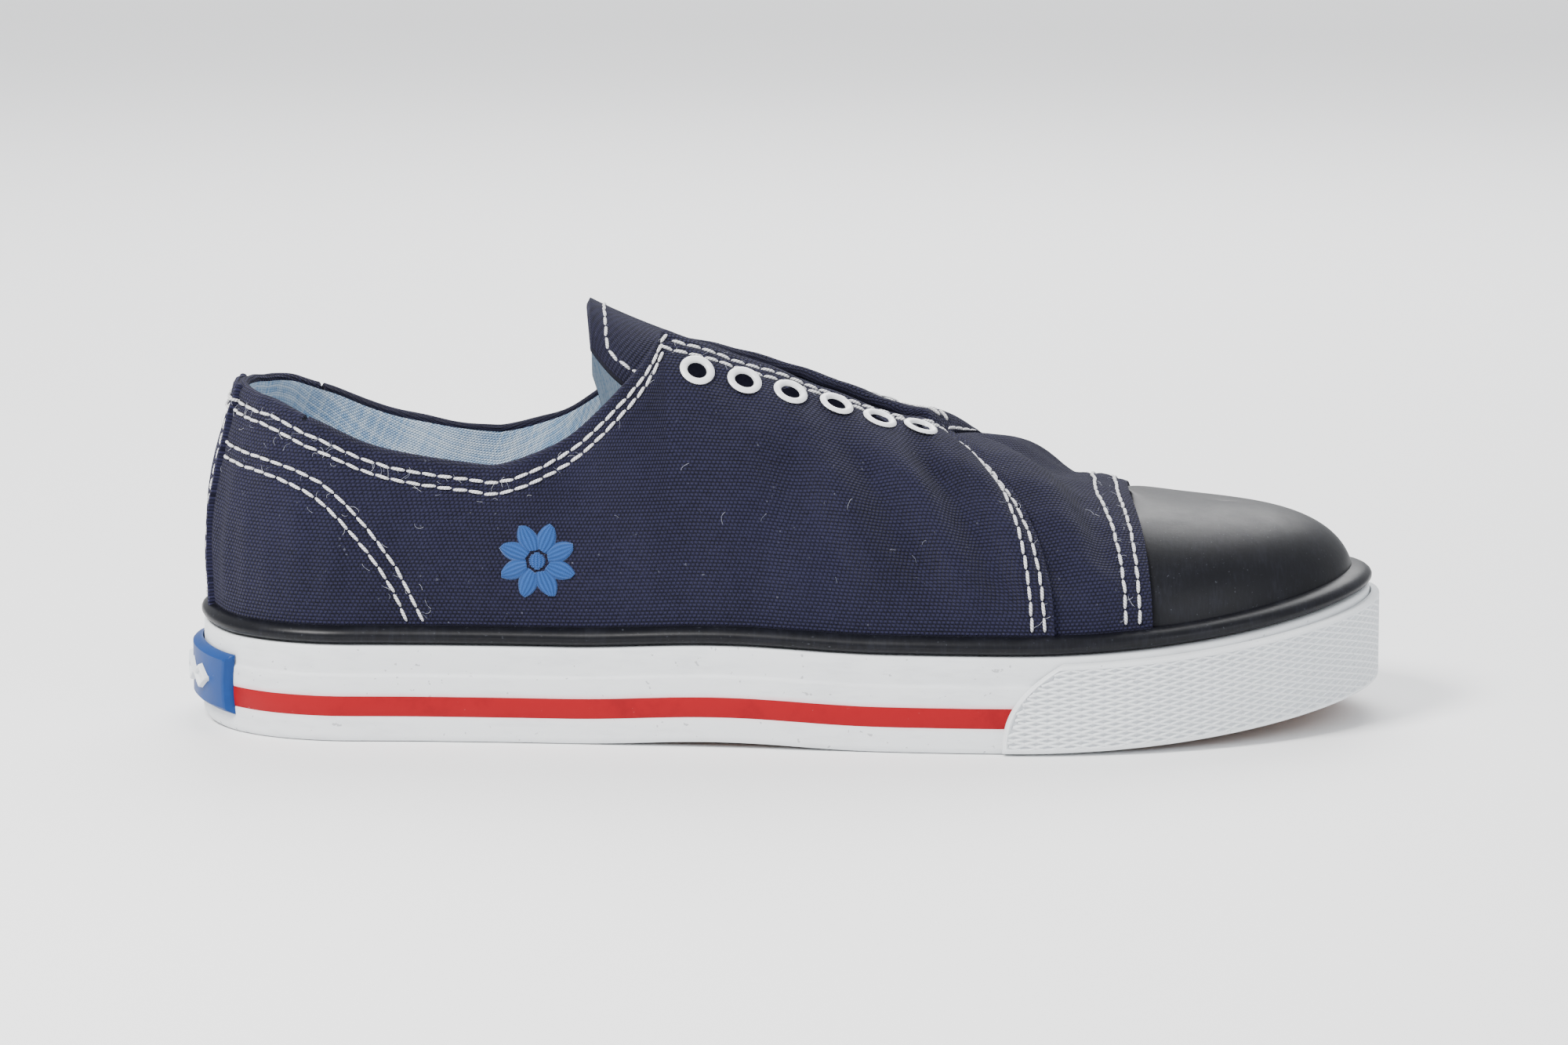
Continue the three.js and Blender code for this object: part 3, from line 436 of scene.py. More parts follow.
    def normal(self, side, station, lift):
        side, station, lift = np.broadcast_arrays(side, np.asarray(station, float), lift)
        h = self.turn_step
        along = self.point(side, station + h, lift) - self.point(side, station - h, lift)
        low = np.minimum(lift, QUARTER_TURN - 3 * h)
        up = self.point(side, station, low + h) - self.point(side, station, np.maximum(0, low - h))
        across = unit(np.cross(along, up) * -np.asarray(side, float)[..., None])
        ahead = self.ridge(np.minimum(math.pi, station + self.crest_step))
        steep = ahead - self.ridge(np.maximum(0, station - self.crest_step))
        crest = unit(np.stack([-steep[..., 2], np.zeros(station.shape), steep[..., 0]], -1))
        near = ease((lift - self.crest_from) / (QUARTER_TURN - self.crest_from))[..., None]
        return unit(mix(across, crest, near))

    def over(self, side, station, lift, offset):
        point = self.point(side, station, lift)
        offset = np.broadcast_to(offset, point.shape[:-1])
        return point + self.normal(side, station, lift) * offset[..., None]

    def lift_at_rise(self, station, rise):
        share = np.clip(rise / (self.ridge(station)[..., 2] - self.band_top(station)), 0, 1)
        return np.arcsin(share ** (read_rows(SECTIONS, "fullness", station) / 2))

    def rise_at_lift(self, station, lift):
        power = 2 / read_rows(SECTIONS, "fullness", station)
        return (self.ridge(station)[..., 2] - self.band_top(station)) * np.sin(lift) ** power

    def lift_at_reach(self, side, station, reach):
        span = length(self.edge(side, station, self.inset) - self.ridge(station)[..., :2])
        power = read_rows(SECTIONS, "fullness", station) / 2
        return np.arccos(np.minimum(1, (reach / span)) ** power)

    def edge_lift(self, side, station):
        """The lift of the upper's edge: the collar, then the side of the throat."""
        side, station = np.broadcast_arrays(side, np.asarray(station, float))
        share = share_at(station)
        high = read_rows(COLLAR, "high", station)
        ankle = self.lift_at_rise(station, mix(self.ankle_collar_rise, self.heel_collar_rise, high))
        throat = self.lift_at_reach(side, station, read_rows(THROAT, "open", station) * self.throat_gap)
        start, end = station_at(ANKLE_AT), station_at(COLLAR_CORNER_AT)
        ends = np.full(station.shape, end)
        corner = self.lift_at_reach(side, ends, THROAT["open"][0] * self.throat_gap)
        t = np.clip((station - start) / (end - start), 0, 1) ** COLLAR_SWEEP
        rise = mix(self.ankle_collar_rise, self.rise_at_lift(ends, corner), t)
        climb = self.lift_at_rise(station, rise)
        lift = np.where(share <= ANKLE_AT, ankle, np.where(share >= COLLAR_CORNER_AT, throat, climb))
        return np.where(share >= THROAT_BASE_AT - TINY, QUARTER_TURN, lift)

    def lift_pace(self, side, station, lift):
        """Millimetres along the half section for one unit of lift."""
        h = self.pace_step
        low = np.minimum(lift, QUARTER_TURN - h)
        return length(self.point(side, station, low + h) - self.point(side, station, low)) / h

    def station_pace(self, side, station, lift):
        """Millimetres along the last for one unit of station."""
        h = self.pace_step
        return length(self.point(side, station, lift) - self.point(side, station - h, lift)) / h

    def creases(self, side, station, lift):
        """How far the soft folds push the canvas in or out."""
        side = np.asarray(side)
        share = share_at(station)
        high = lift / QUARTER_TURN
        total = np.zeros(np.broadcast(side, station, lift).shape)
        for at, lean, low, top, depth, width, place in CREASES:
            away = (share - (at - lean * high)) * self.sole_length / width
            fade = ease((high - low) / CREASE_FADE) * ease((top - high) / CREASE_FADE)
            lips = CREASE_LIPS * np.exp(-(np.abs(away) - CREASE_LIPS_AWAY) ** 2)
            here = 1 if place == 0 else (side == place)
            total = total - depth * (np.exp(-away ** 2) - lips) * fade * here
        slack = np.sin(37 * station + 9 * lift) * np.sin(15 * lift + 11 * station * side)
        tight = np.sin(58 * station + 1.3 * side) * ease((0.3 - high) / 0.2)
        calm = ease(high / self.calm_at_bead) * ease((CAP_EDGE_AT - share) / self.calm_at_cap)
        return (total + self.slack_depth * slack + self.tight_depth * tight) * calm

    def place(self, points):
        return points * MM + self.origin


# Shader expressions

class Value:
    """A socket that takes part in sums: each operator adds one Math node."""

    def __init__(self, shade, socket):
        self.shade = shade
        self.socket = socket

    def math(self, operation, *others):
        return self.shade.value("ShaderNodeMath", {"operation": operation}, self, *others)

    def __add__(self, other):
        return self.math("ADD", other)

    def __sub__(self, other):
        return self.math("SUBTRACT", other)

    def __mul__(self, other):
        return self.math("MULTIPLY", other)

    def __truediv__(self, other):
        return self.math("DIVIDE", other)

    def __pow__(self, other):
        return self.math("POWER", other)

    def __rsub__(self, other):
        return self.shade.value("ShaderNodeMath", {"operation": "SUBTRACT"}, other, self)

    __radd__ = __add__
    __rmul__ = __mul__

    def above(self, edge, soft):
        """0 below the edge and 1 above it, over a soft width."""
        settings = {"interpolation_type": "SMOOTHSTEP"}
        return self.shade.value("ShaderNodeMapRange", settings, self, edge - soft, edge + soft)


class Shade:
    """A material, with one method that adds a node of any kind."""

    def __init__(self, name, **surface):
        self.material = bpy.data.materials.new(name)
        self.material.use_nodes = True
        self.tree = self.material.node_tree
        self.surface = self.tree.nodes["Principled BSDF"]
        for socket, value in surface.items():
            self.set(socket.replace("_", " "), value)


    def node(self, kind, settings=None, *inputs, **named):
        node = self.tree.nodes.new(kind)
        for key, value in (settings or {}).items():
            setattr(node, key, value)
        for i, value in enumerate(inputs):
            self.feed(node.inputs[i], value)
        for key, value in named.items():
            self.feed(node.inputs[key.replace("_", " ")], value)
        return node

    def feed(self, socket, value):
        if isinstance(value, Value):
            self.tree.links.new(value.socket, socket)
        elif isinstance(value, bpy.types.NodeSocket):
            self.tree.links.new(value, socket)
        elif socket.type == "RGBA" and len(value) == 3:
            socket.default_value = (*value, 1)
        else:
            socket.default_value = value

    def set(self, socket, value):
        self.feed(self.surface.inputs[socket], value)

    def object_place(self):
        return self.node("ShaderNodeTexCoord").outputs["Object"]

    def marks(self, tone, colour, share, edge, soft, *noise):
        """A tone with a share of another colour where a noise is over an edge."""
        return self.blend(self.noise(*noise).above(edge, soft) * share, tone, colour)

    def done(self, colour, height, depth_mm, strength, roughness=None, under=None):
        """Sets the colour, the bump and the roughness, and gives the finished material."""
        self.set("Base Color", colour)
        self.set("Normal", self.bump(height, depth_mm, strength, under))
        if roughness is not None:
            self.set("Roughness", roughness)
        return self.material

    def value(self, kind, settings=None, *inputs, **named):
        """A node's first output, ready for sums."""
        return Value(self, self.node(kind, settings, *inputs, **named).outputs[0])

    def split(self, vector):
        """The first two numbers of a vector."""
        node = self.node("ShaderNodeSeparateXYZ", None, vector)
        return Value(self, node.outputs[0]), Value(self, node.outputs[1])

    def cloth_place(self):
        """The piece's own map: u and v in millimetres along the cloth."""
        return self.split(self.node("ShaderNodeTexCoord").outputs["UV"])

    def noise(self, scale, detail, roughness=0.55, stretch=None):
        place = self.object_place()
        if stretch:
            place = self.node("ShaderNodeMapping", None, place, Scale=stretch).outputs[0]
        return self.value(
            "ShaderNodeTexNoise", None, place, Scale=scale, Detail=detail, Roughness=roughness)

    def thread_tone(self, number):
        """A tone of its own for each numbered thread."""
        return self.value("ShaderNodeTexWhiteNoise", {"noise_dimensions": "1D"}, W=number)

    def blend(self, factor, a, b):
        node = self.node("ShaderNodeMix", {"data_type": "RGBA"})
        for socket, value in ((node.inputs[0], factor), (node.inputs[6], a), (node.inputs[7], b)):
            self.feed(socket, value)
        return node.outputs[2]

    def bump(self, height, depth_mm, strength, under=None):
        named = {"Strength": strength, "Distance": depth_mm * MM, "Height": height}
        if under is not None:
            named["Normal"] = under
        return self.node("ShaderNodeBump", None, **named).outputs[0]


def scaled(colour, factor):
    return tuple(min(1, c * factor) for c in colour)


def weave(shade, pitch_u, pitch_v):
    """Brick-like knuckles of a plain weave: 1 on a knuckle and 0 between."""
    u, v = shade.cloth_place()
    row = (v / pitch_v).math("FLOOR")
    across = ((u / pitch_u + row * 0.5) * math.pi).math("SINE").math("ABSOLUTE")
    up = ((v / pitch_v) * math.pi).math("SINE").math("ABSOLUTE")
    return (across * up) ** 0.7


def canvas_finish(name, base):
    """Coarse duck canvas: knuckles with painted shade between them, slubs, lint and faded patches."""
    pitch = sizes().weave_pitch / MM
    shade = Shade(name, Roughness=0.95, Specular_IOR_Level=0.12, Sheen_Weight=0.04, Sheen_Roughness=0.5)
    knuckle = weave(shade, pitch, pitch * 0.82)
    fuzz = shade.noise(2600, 2, 0.7)
    slub = shade.noise(420, 3, 0.6, (1, 1, 2.5))
    # Painted shade of the weave: knuckle tops lighter and gaps darker, mixed with the slubs' and patches'
    # own tone.
    light = knuckle * 0.55 + fuzz * 0.3 + slub * 0.35 + shade.noise(38, 4, 0.6) * 0.3 - 0.2
    cloth = shade.blend(light.above(0.5, 0.42), scaled(base, 0.2), scaled(base, 1.9))
    cloth = shade.marks(cloth, (0.2, 0.21, 0.26), 0.3, 0.785, 0.02, 900, 1, 0.4)
    coarse = shade.bump(knuckle + fuzz * 0.35, 0.45, 1.0)
    return shade.done(cloth, slub, 0.35, 0.5, under=coarse)


def lining_finish():
    """Light blue plain weave with white threads in it, and a painted highlight on its knuckles."""
    base = colours().lining
    warp_pitch, weft_pitch = 0.75, 0.62
    shade = Shade("lining_cloth", Roughness=0.95, Specular_IOR_Level=0.15)
    u, v = shade.cloth_place()
    knuckle = weave(shade, warp_pitch, weft_pitch)
    warp = shade.thread_tone((u / warp_pitch).math("FLOOR"))
    weft = shade.thread_tone((v / weft_pitch).math("FLOOR") + 0.5)
    # Partly painted highlight: knuckle tops paler. The white warp and weft threads and the noise are the
    # cloth's own tone.
    pale = (warp * 0.3 + weft * 0.3 + shade.noise(1500, 2) * 0.5 + knuckle * 0.25).above(0.62, 0.3)
    tint = shade.blend(pale, scaled(base, 0.95), (0.5, 0.59, 0.68))
    tint = shade.marks(tint, (0.62, 0.66, 0.7), 0.35, 0.6, 0.2, 45, 3)
    return shade.done(tint, knuckle, 0.22, 0.8)


def dark_rubber_finish(name, roughness):
    """Smooth near-black rubber with dust, faint scratches and a soft sheen."""
    base = colours().dark_rubber
    shade = Shade(name, Specular_IOR_Level=0.17)
    dust = shade.noise(140, 5, 0.65)
    grey = (dust * 0.6 + shade.noise(300, 3, 0.6, (6, 1, 1)) * 0.5).above(0.62, 0.14) * 0.35
    tone = shade.blend(grey, scaled(base, 0.9), scaled(base, 3.6))
    tone = shade.marks(tone, (0.06, 0.065, 0.08), 0.4, 0.74, 0.02, 1500, 1, 0.4)
    return shade.done(tone, dust + shade.noise(900, 2) * 0.3, 0.09, 0.6, dust * 0.22 + (roughness - 0.1))


def white_rubber_finish(name, dirt, over=None):
    """White rubber with grey smudges, small dark specks and a soft skin, and any colour laid over it."""
    shade = Shade(name, Specular_IOR_Level=0.4)
    smudge = shade.noise(32, 5, 0.62)
    grey = (smudge * 0.55 + shade.noise(120, 4, 0.6, (1, 1, 5)) * 0.5).above(0.6, 0.13) * (0.3 * dirt)
    tone = shade.blend(grey, colours().white_rubber, (0.42, 0.43, 0.45))
    tone = shade.marks(tone, (0.2, 0.2, 0.22), 0.55 * dirt, 0.71, 0.018, 620, 2, 0.5)
    tone = shade.marks(tone, (0.3, 0.3, 0.32), 0.4 * dirt, 0.69, 0.02, 75, 6, 0.75, (1.6, 1, 7))
    if over:
        tone = over(shade, tone)
    return shade.done(tone, smudge * 0.8 + shade.noise(1100, 2) * 0.12, 0.3, 0.35, smudge * 0.25 + 0.36)


def painted_diamond_shade(shade, colour):
    """Painted shade, greyer in the bumper's sunken diamonds. Its map's u is the distance from the edge."""
    u, _ = shade.cloth_place()
    return shade.blend(u.above(1.35, 0.2) * 0.75, colour, (0.53, 0.55, 0.59))


def pink_bleed(shade, colour):
    """The red has bled a little into the band along the stripe's edges. The map's v is the height."""
    _, v = shade.cloth_place()
    high = v.above(10.6, 0.1) * (1 - v.above(11.6, 0.6)) * (shade.noise(260, 3) * 0.5 + 0.18)
    low = v.above(5.6, 0.4) * (1 - v.above(6.5, 0.1)) * (shade.noise(260, 3) * 0.3)
    return shade.blend(high + low, colour, (0.8, 0.28, 0.33))


def red_rubber_finish():
    base = colours().red_rubber
    shade = Shade("red_rubber", Specular_IOR_Level=0.2)
    smudge = shade.noise(90, 5, 0.65)
    tone = shade.blend(smudge.above(0.58, 0.12) * 0.5, base, scaled(base, 0.62))
    tone = shade.marks(tone, (0.5, 0.2, 0.22), 0.3, 0.76, 0.03, 700, 2)
    return shade.done(tone, smudge, 0.15, 0.4, smudge * 0.25 + 0.38)


def blue_rubber_finish():
    base = colours().blue_rubber
    shade = Shade("blue_rubber", Specular_IOR_Level=0.25)
    dust = shade.noise(160, 5, 0.65)
    tone = shade.blend(dust.above(0.58, 0.15) * 0.4, base, scaled(base, 1.5))
    tone = shade.marks(tone, (0.2, 0.3, 0.45), 0.25, 0.74, 0.03, 800, 2)
    return shade.done(tone, dust, 0.12, 0.5, dust * 0.25 + 0.36)


def gum_rubber_finish():
    """Brown rubber with fine ribs across it, grime and pale glue marks."""
    base = colours().gum_rubber
    rib_along, rib_across = 1.4 * MM, 9 * MM
    shade = Shade("gum_rubber", Specular_IOR_Level=0.35)
    x, y = shade.split(shade.object_place())
    rib = ((x / rib_along + y / rib_across) * (2 * math.pi)).math("SINE")
    grime = shade.noise(45, 5, 0.6)
    tone = shade.blend(grime.above(0.5, 0.25), scaled(base, 1.1), scaled(base, 0.6))
    tone = shade.marks(tone, (0.55, 0.42, 0.3), 0.22, 0.68, 0.06, 130, 5, 0.7)
    fine = shade.bump(grime + shade.noise(700, 3) * 0.3, 0.25, 0.5)
    return shade.done(tone, rib, 0.22, 0.8, grime * 0.25 + 0.42, fine)


def thread_finish(name, base):
    """Twisted thread: the strands run slantwise round each stitch, with painted shade in the grooves
    between them.
    """
    shade = Shade(name, Roughness=0.8, Specular_IOR_Level=0.25, Sheen_Weight=0.2)
    u, v = shade.cloth_place()
    strand = ((u * 1.6 + v * 2.0) * (2 * math.pi)).math("SINE") * 0.5 + 0.5
    # Painted shade: darker in the grooves between the strands, lighter on their crowns.
    return shade.done(shade.blend(strand, scaled(base, 0.5), scaled(base, 1.08)), strand, 0.14, 0.9)


def plain_finish(name, tone, low, high, roughness, gloss):
    """A dull surface that wanders between two colours by a noise, past an edge of it where one is given."""
    shade = Shade(name, Roughness=roughness, Specular_IOR_Level=gloss)
    scale, detail, *edge = tone
    factor = shade.noise(scale, detail)
    shade.set("Base Color", shade.blend(factor.above(*edge) if edge else factor, low, high))
    return shade.material


def enamel_finish():
    shade = Shade("eyelet_enamel", Specular_IOR_Level=0.5, Coat_Weight=0.3, Coat_Roughness=0.15)
    wear = shade.noise(700, 4, 0.6)
    tone = shade.blend(wear.above(0.66, 0.06) * 0.5, colours().enamel, (0.45, 0.46, 0.48))
    return shade.done(tone, wear, 0.05, 0.4, wear * 0.2 + 0.22)


MAKERS = {
    "canvas": lambda: canvas_finish("navy_canvas", colours().canvas),
    "strip_canvas": lambda: canvas_finish("strip_canvas", scaled(colours().canvas, 1.35)),
    "lining": lining_finish,
    "cap_rubber": lambda: dark_rubber_finish("cap_rubber", 0.42),
    "bead_rubber": lambda: dark_rubber_finish("bead_rubber", 0.36),
    "band_rubber": lambda: white_rubber_finish("band_rubber", 1.0, pink_bleed),
    "bumper_rubber": lambda: white_rubber_finish("bumper_rubber", 0.5),
    # The bumper's rubber, with painted shade in its sunken diamonds.
    "bumper_floor": lambda: white_rubber_finish("bumper_floor", 0.7, painted_diamond_shade),
    "lint": lambda: plain_finish("lint", (300, 2, 0.5, 0.15), (0.16, 0.17, 0.22), (0.42, 0.43, 0.48),
                                 0.9, 0.1),
    "chain_rubber": lambda: white_rubber_finish("chain_rubber", 0.4),
    "red_rubber": red_rubber_finish,
    "blue_rubber": blue_rubber_finish,
    "gum_rubber": gum_rubber_finish,
    "thread": lambda: thread_finish("seam_thread", colours().thread),
    "emblem_thread": lambda: thread_finish("emblem_thread", colours().emblem),
    "enamel": enamel_finish,
    # Near-black discs in the eyelets: painted shade where the eyelets' insides lie.
    "eyelet_hole": lambda: plain_finish("eyelet_hole", (900, 2), (0.002, 0.002, 0.004),
                                        (0.007, 0.007, 0.012), 1.0, 0.0),
    "floor": lambda: plain_finish("studio_floor", (3, 3), (0.9, 0.9, 0.905), (0.93, 0.93, 0.93), 0.6, 0.25),
}
made = {}


def finish(name):
    if name not in made:
        made[name] = MAKERS[name]()
    return made[name]


# Modelling helpers

def deselect():
    bpy.ops.object.select_all(action="DESELECT")


def only(obj):
    deselect()
    obj.select_set(True)
    bpy.context.view_layer.objects.active = obj


def tidy_mesh(obj, angle=SMOOTH_ANGLE):
    """Joins doubles, turns the faces outwards and smooths."""
    only(obj)
    bpy.ops.object.mode_set(mode="EDIT")
    bpy.ops.mesh.select_all(action="SELECT")
    bpy.ops.mesh.remove_doubles(threshold=DOUBLES)
    bpy.ops.mesh.normals_make_consistent(inside=False)
    bpy.ops.object.mode_set(mode="OBJECT")
    bpy.ops.object.shade_smooth_by_angle(angle=angle)


def settle(obj, finishes, replaces=()):
    """Gives a finished piece its materials, its body and the nodes that it stands for."""
    for name in finishes:
        obj.data.materials.append(finish(name))
    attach(obj, BODY)
    if replaces:
        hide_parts(*replaces)


def lay_map(mesh, maps):
    """Gives the corners of the faces the place on the cloth of their points."""
    corner = np.zeros(len(mesh.loops), np.int32)
    mesh.loops.foreach_get("vertex_index", corner)
    mesh.uv_layers.active.data.foreach_set("uv", maps[corner].astype(np.float32).ravel())
    return corner


def grid_piece(name, points, maps, second=None):
    """A grid primitive drawn onto a surface: points are rows by columns, in metres. maps gives each point's
    place on the cloth in millimetres. second marks the columns that take the second material."""
    rows, columns = points.shape[:2]
    deselect()
    bpy.ops.mesh.primitive_grid_add(x_subdivisions=rows - 1, y_subdivisions=columns - 1, size=2)
    obj = bpy.context.object
    mesh = obj.data
    obj.name = mesh.name = name
    flat = np.zeros(len(mesh.vertices) * 3, np.float32)
    mesh.vertices.foreach_get("co", flat)
    share = (flat.reshape(-1, 3)[:, :2] + 1) / 2
    r, c = np.rint(share * (rows - 1, columns - 1)).astype(int).T
    mesh.vertices.foreach_set("co", points[r, c].astype(np.float32).ravel())
    corner = lay_map(mesh, maps[r, c])
    if second is not None:
        index = np.isin(c[corner].reshape(-1, 4).min(1), second)
        mesh.polygons.foreach_set("material_index", index.astype(np.int32))
    mesh.update()
    tidy_mesh(obj)
    return obj


def mesh_piece(name, points, faces, maps, angle=SMOOTH_ANGLE):
    """A piece of given points, in metres, and faces, with each point's place on the map."""
    mesh = bpy.data.meshes.new(name)
    mesh.from_pydata(points.tolist(), [], faces)
    mesh.uv_layers.new(name="UVMap")
    lay_map(mesh, maps)
    obj = bpy.data.objects.new(name, mesh)
    bpy.context.collection.objects.link(obj)
    tidy_mesh(obj, angle)
    return obj


def cloth_map(points):
    """Millimetres along the rows and the columns of a grid of points in millimetres."""
    rows, columns = points.shape[:2]
    u = np.concatenate([np.zeros((1, columns)), np.cumsum(length(np.diff(points, axis=0)), 0)])
    v = np.concatenate([np.zeros((rows, 1)), np.cumsum(length(np.diff(points, axis=1)), 1)], 1)
    return np.stack([u - u[rows // 2], v], -1)


def mapped_piece(name, last, points):
    """A grid of points in millimetres, with the map that follows it."""
    return grid_piece(name, last.place(points), cloth_map(points))


def rounded(outer, before, inner):
    """Points that round off an edge from the outer chain's end to the inner chain's end."""
    middle = (outer + inner) / 2
    reach = (outer - inner) / 2
    ahead = unit(outer - before) * length(reach)[..., None]
    turns = [math.pi * k / (ROUND_STEPS + 1) for k in range(1, ROUND_STEPS + 1)]
    return np.stack([middle + reach * math.cos(a) + ahead * math.sin(a) for a in turns], -2)


def widened(points, columns):
    """The same rows of points with another number of columns."""
    at = np.linspace(0, points.shape[1] - 1, columns)
    low = np.minimum(at.astype(int), points.shape[1] - 2)
    t = (at - low)[None, :, None]
    return mix(points[:, low], points[:, low + 1], t)


def sleeve(name, outer, inner, last, round_high=True, round_low=False, close_ends=True, across=None):
    """A closed wall between an outer and an inner grid, in millimetres. Its edges may be rounded. across
    gives the outer grid's own u for the map."""
    chains = [outer]
    if round_high:
        chains.append(rounded(outer[:, -1], outer[:, -2], inner[:, -1]))
    start = sum(chain.shape[1] for chain in chains)
    chains.append(inner[:, ::-1])
    end = start + inner.shape[1]
    if round_low:
        chains.append(rounded(inner[:, 0], inner[:, 1], outer[:, 0]))
    chains.append(outer[:, :1])
    points = np.concatenate(chains, 1)
    maps = cloth_map(points)
    if across is not None:
        maps[..., 0] = 0
        maps[:, :outer.shape[1], 0] = across
    if close_ends:
        folded = [widened(inner, chain.shape[1]) if chain is outer else chain for chain in chains[:-1]]
        folded.append(inner[:, :1])
        if round_high:
            folded[1] = np.repeat(inner[:, -1:], chains[1].shape[1], 1)
        if round_low:
            folded[-2] = np.repeat(inner[:, :1], chains[-2].shape[1], 1)
        ends = np.concatenate(folded, 1)
        points = np.concatenate([ends[:1], points, ends[-1:]])
        maps = np.concatenate([maps[:1], maps, maps[-1:]])
    return grid_piece(name, last.place(points), maps, np.arange(start, end - 1))


def ring_stations(count):
    """Sides and stations all round the shoe, from the heel along the outer side and back."""
    turn = np.linspace(0, 2 * math.pi, count)
    side = np.where(turn <= math.pi, LATERAL, MEDIAL)
    station = np.where(turn <= math.pi, turn, 2 * math.pi - turn)
    return side, station


def ring_piece(name, last, section):
    """A closed ring round the sole from a closed section of (inset, height) pairs, a little uneven."""
    side, station = (run[:, None] for run in ring_stations(RING_ROWS))
    inset, height = np.array([*section, section[0]], float).T
    turn = in_rows(0, 2 * math.pi, RING_ROWS)
    wave = np.sin(9 * turn + 1) + 0.6 * np.sin(23 * turn) + 0.4 * np.sin(41 * turn + 2)
    points = last.beside(side, station, inset + RING_WOBBLE * wave, height)
    maps = cloth_map(points)
    maps[..., 1] = height
    return grid_piece(name, last.place(points), maps)


def heel_reach(last, side, reach):
    """Stations whose distance from the heel's middle, along the outline, is the one given."""
    station = np.linspace(0, QUARTER_TURN, 2000)
    run = {one: walked(last.edge(one, station, 0)) for one in (LATERAL, MEDIAL)}
    return by_side(side, lambda one: np.interp(reach, run[one], station))


def strand_template():
    """A short thread, one long and one thick, with its ends dipping down."""
    deselect()
    bpy.ops.mesh.primitive_uv_sphere_add(segments=6, ring_count=6, radius=1)
    obj = bpy.context.object
    co = np.array([v.co for v in obj.data.vertices])
    long = np.sign(co[:, 2]) * np.abs(co[:, 2]) ** 0.8
    thick = np.sqrt(np.maximum(0, 1 - long ** 4))
    size = np.maximum(np.hypot(co[:, 0], co[:, 1]), TINY)
    around = np.arctan2(co[:, 1], co[:, 0]) / (2 * math.pi)
    places = np.stack([long / 2, co[:, 0] / size * thick / 2, co[:, 1] / size * thick / 2], 1)
    faces = [tuple(p.vertices) for p in obj.data.polygons]
    bpy.data.objects.remove(obj, do_unlink=True)
    return places, faces, np.stack([long * 1.5, around], 1)


def strands_piece(name, centres, along, up, long, thickness, finish_name, dip=0.35):
    """One joined mesh of threads, each with a centre, a direction, an up direction and a length."""
    places, faces, maps = strand_template()
    along = unit(along)
    up = unit(up - along * (up * along).sum(1, keepdims=True))
    lowered = places[:, 2] * thickness - dip * thickness * (2 * places[:, 0]) ** 4
    long = np.broadcast_to(long, (len(centres),))[:, None, None]
    points = (centres[:, None] + along[:, None] * (places[:, :1] * long)
              + np.cross(up, along)[:, None] * (places[:, 1:2] * thickness)
              + up[:, None] * lowered[:, None])
    every = [tuple(i * len(places) + v for v in face) for i in range(len(centres)) for face in faces]
    maps = np.tile(maps, (len(centres), 1))
    obj = mesh_piece(name, points.reshape(-1, 3), every, maps, STRAND_ANGLE)
    settle(obj, [finish_name])


def swept_piece(name, bars, section, finish_name, replaces=()):
    """One joined mesh of thin bars, each with its path and its up directions, in millimetres."""
    section = np.array(section, float)
    count = len(section)
    points, faces, maps = [], [], []
    base = 0
    for path, up in bars:
        side = unit(np.cross(unit(np.gradient(path, axis=0)), up))
        ring = path[:, None] + side[:, None] * section[None, :, :1] + up[:, None] * section[None, :, 1:]
        points.append(ring.reshape(-1, 3))
        at, across = np.meshgrid(np.arange(len(path)), section[:, 0], indexing="ij")
        maps.append(np.stack([at, across], -1).reshape(-1, 2))
        end = base + (len(path) - 1) * count
        faces += [(a + k, a + (k + 1) % count, a + count + (k + 1) % count, a + count + k)
                  for a in range(base, end, count) for k in range(count)]
        faces += [tuple(range(base, base + count))[::-1], tuple(range(end, end + count))]
        base = end + count
    obj = mesh_piece(name, Last().place(np.concatenate(points)), faces, np.concatenate(maps))
    settle(obj, [finish_name], replaces)


def along_path(points, normals, step):
    """Evenly spaced places on a path, with their directions and normals."""
    run = walked(points)
    marks = np.arange(step / 2, run[-1] - step / 2, step)
    place, ahead, up = (np.stack([np.interp(marks + further, run, line[:, k]) for k in range(3)], 1)
                        for line, further in ((points, 0), (points, 0.3), (normals, 0)))
    return place, ahead - place, up


def smoothed(values, reach=20):
    """A run of values with its corners rounded off."""
    kernel = np.ones(2 * reach + 1) / (2 * reach + 1)
    return np.convolve(np.pad(values, reach, mode="edge"), kernel, mode="valid")


# The seams. Each line holds its side, its stations, its lifts and its height over the last.

def collar_lines(last):
    """Two rows beside the collar and down both sides of the throat."""
    turn = np.linspace(-1, 1, 1600)
    side = halves(turn)
    station = np.abs(turn) * station_at(0.7)
    top = last.edge_lift(side, station)
    strip = station < heel_reach(last, MEDIAL, STRIP_HALF + 0.3)
    wall = last.quarter_wall + np.where(strip, 1.35, 0)
    pace = last.lift_pace(side, station, top - 0.05)
    return [(side, station, top - away / pace, wall) for away in COLLAR_ROWS]


def counter_lines(last):
    """Two curved rows round the heel counter, on each side."""
    lines = []
    for side in (LATERAL, MEDIAL):
        for line in COUNTER_SEAMS:
            t, knots = (np.linspace(0, 1, count) for count in (300, len(line["forward"])))
            forward, over = (smoothed(np.interp(t, knots, line[key])) for key in ("forward", "over"))
            station = station_at(forward / last.sole_length)
            lift = last.lift_at_rise(station, last.bead_height + over)
            lines.append((side, station, lift, last.quarter_wall))
    return lines


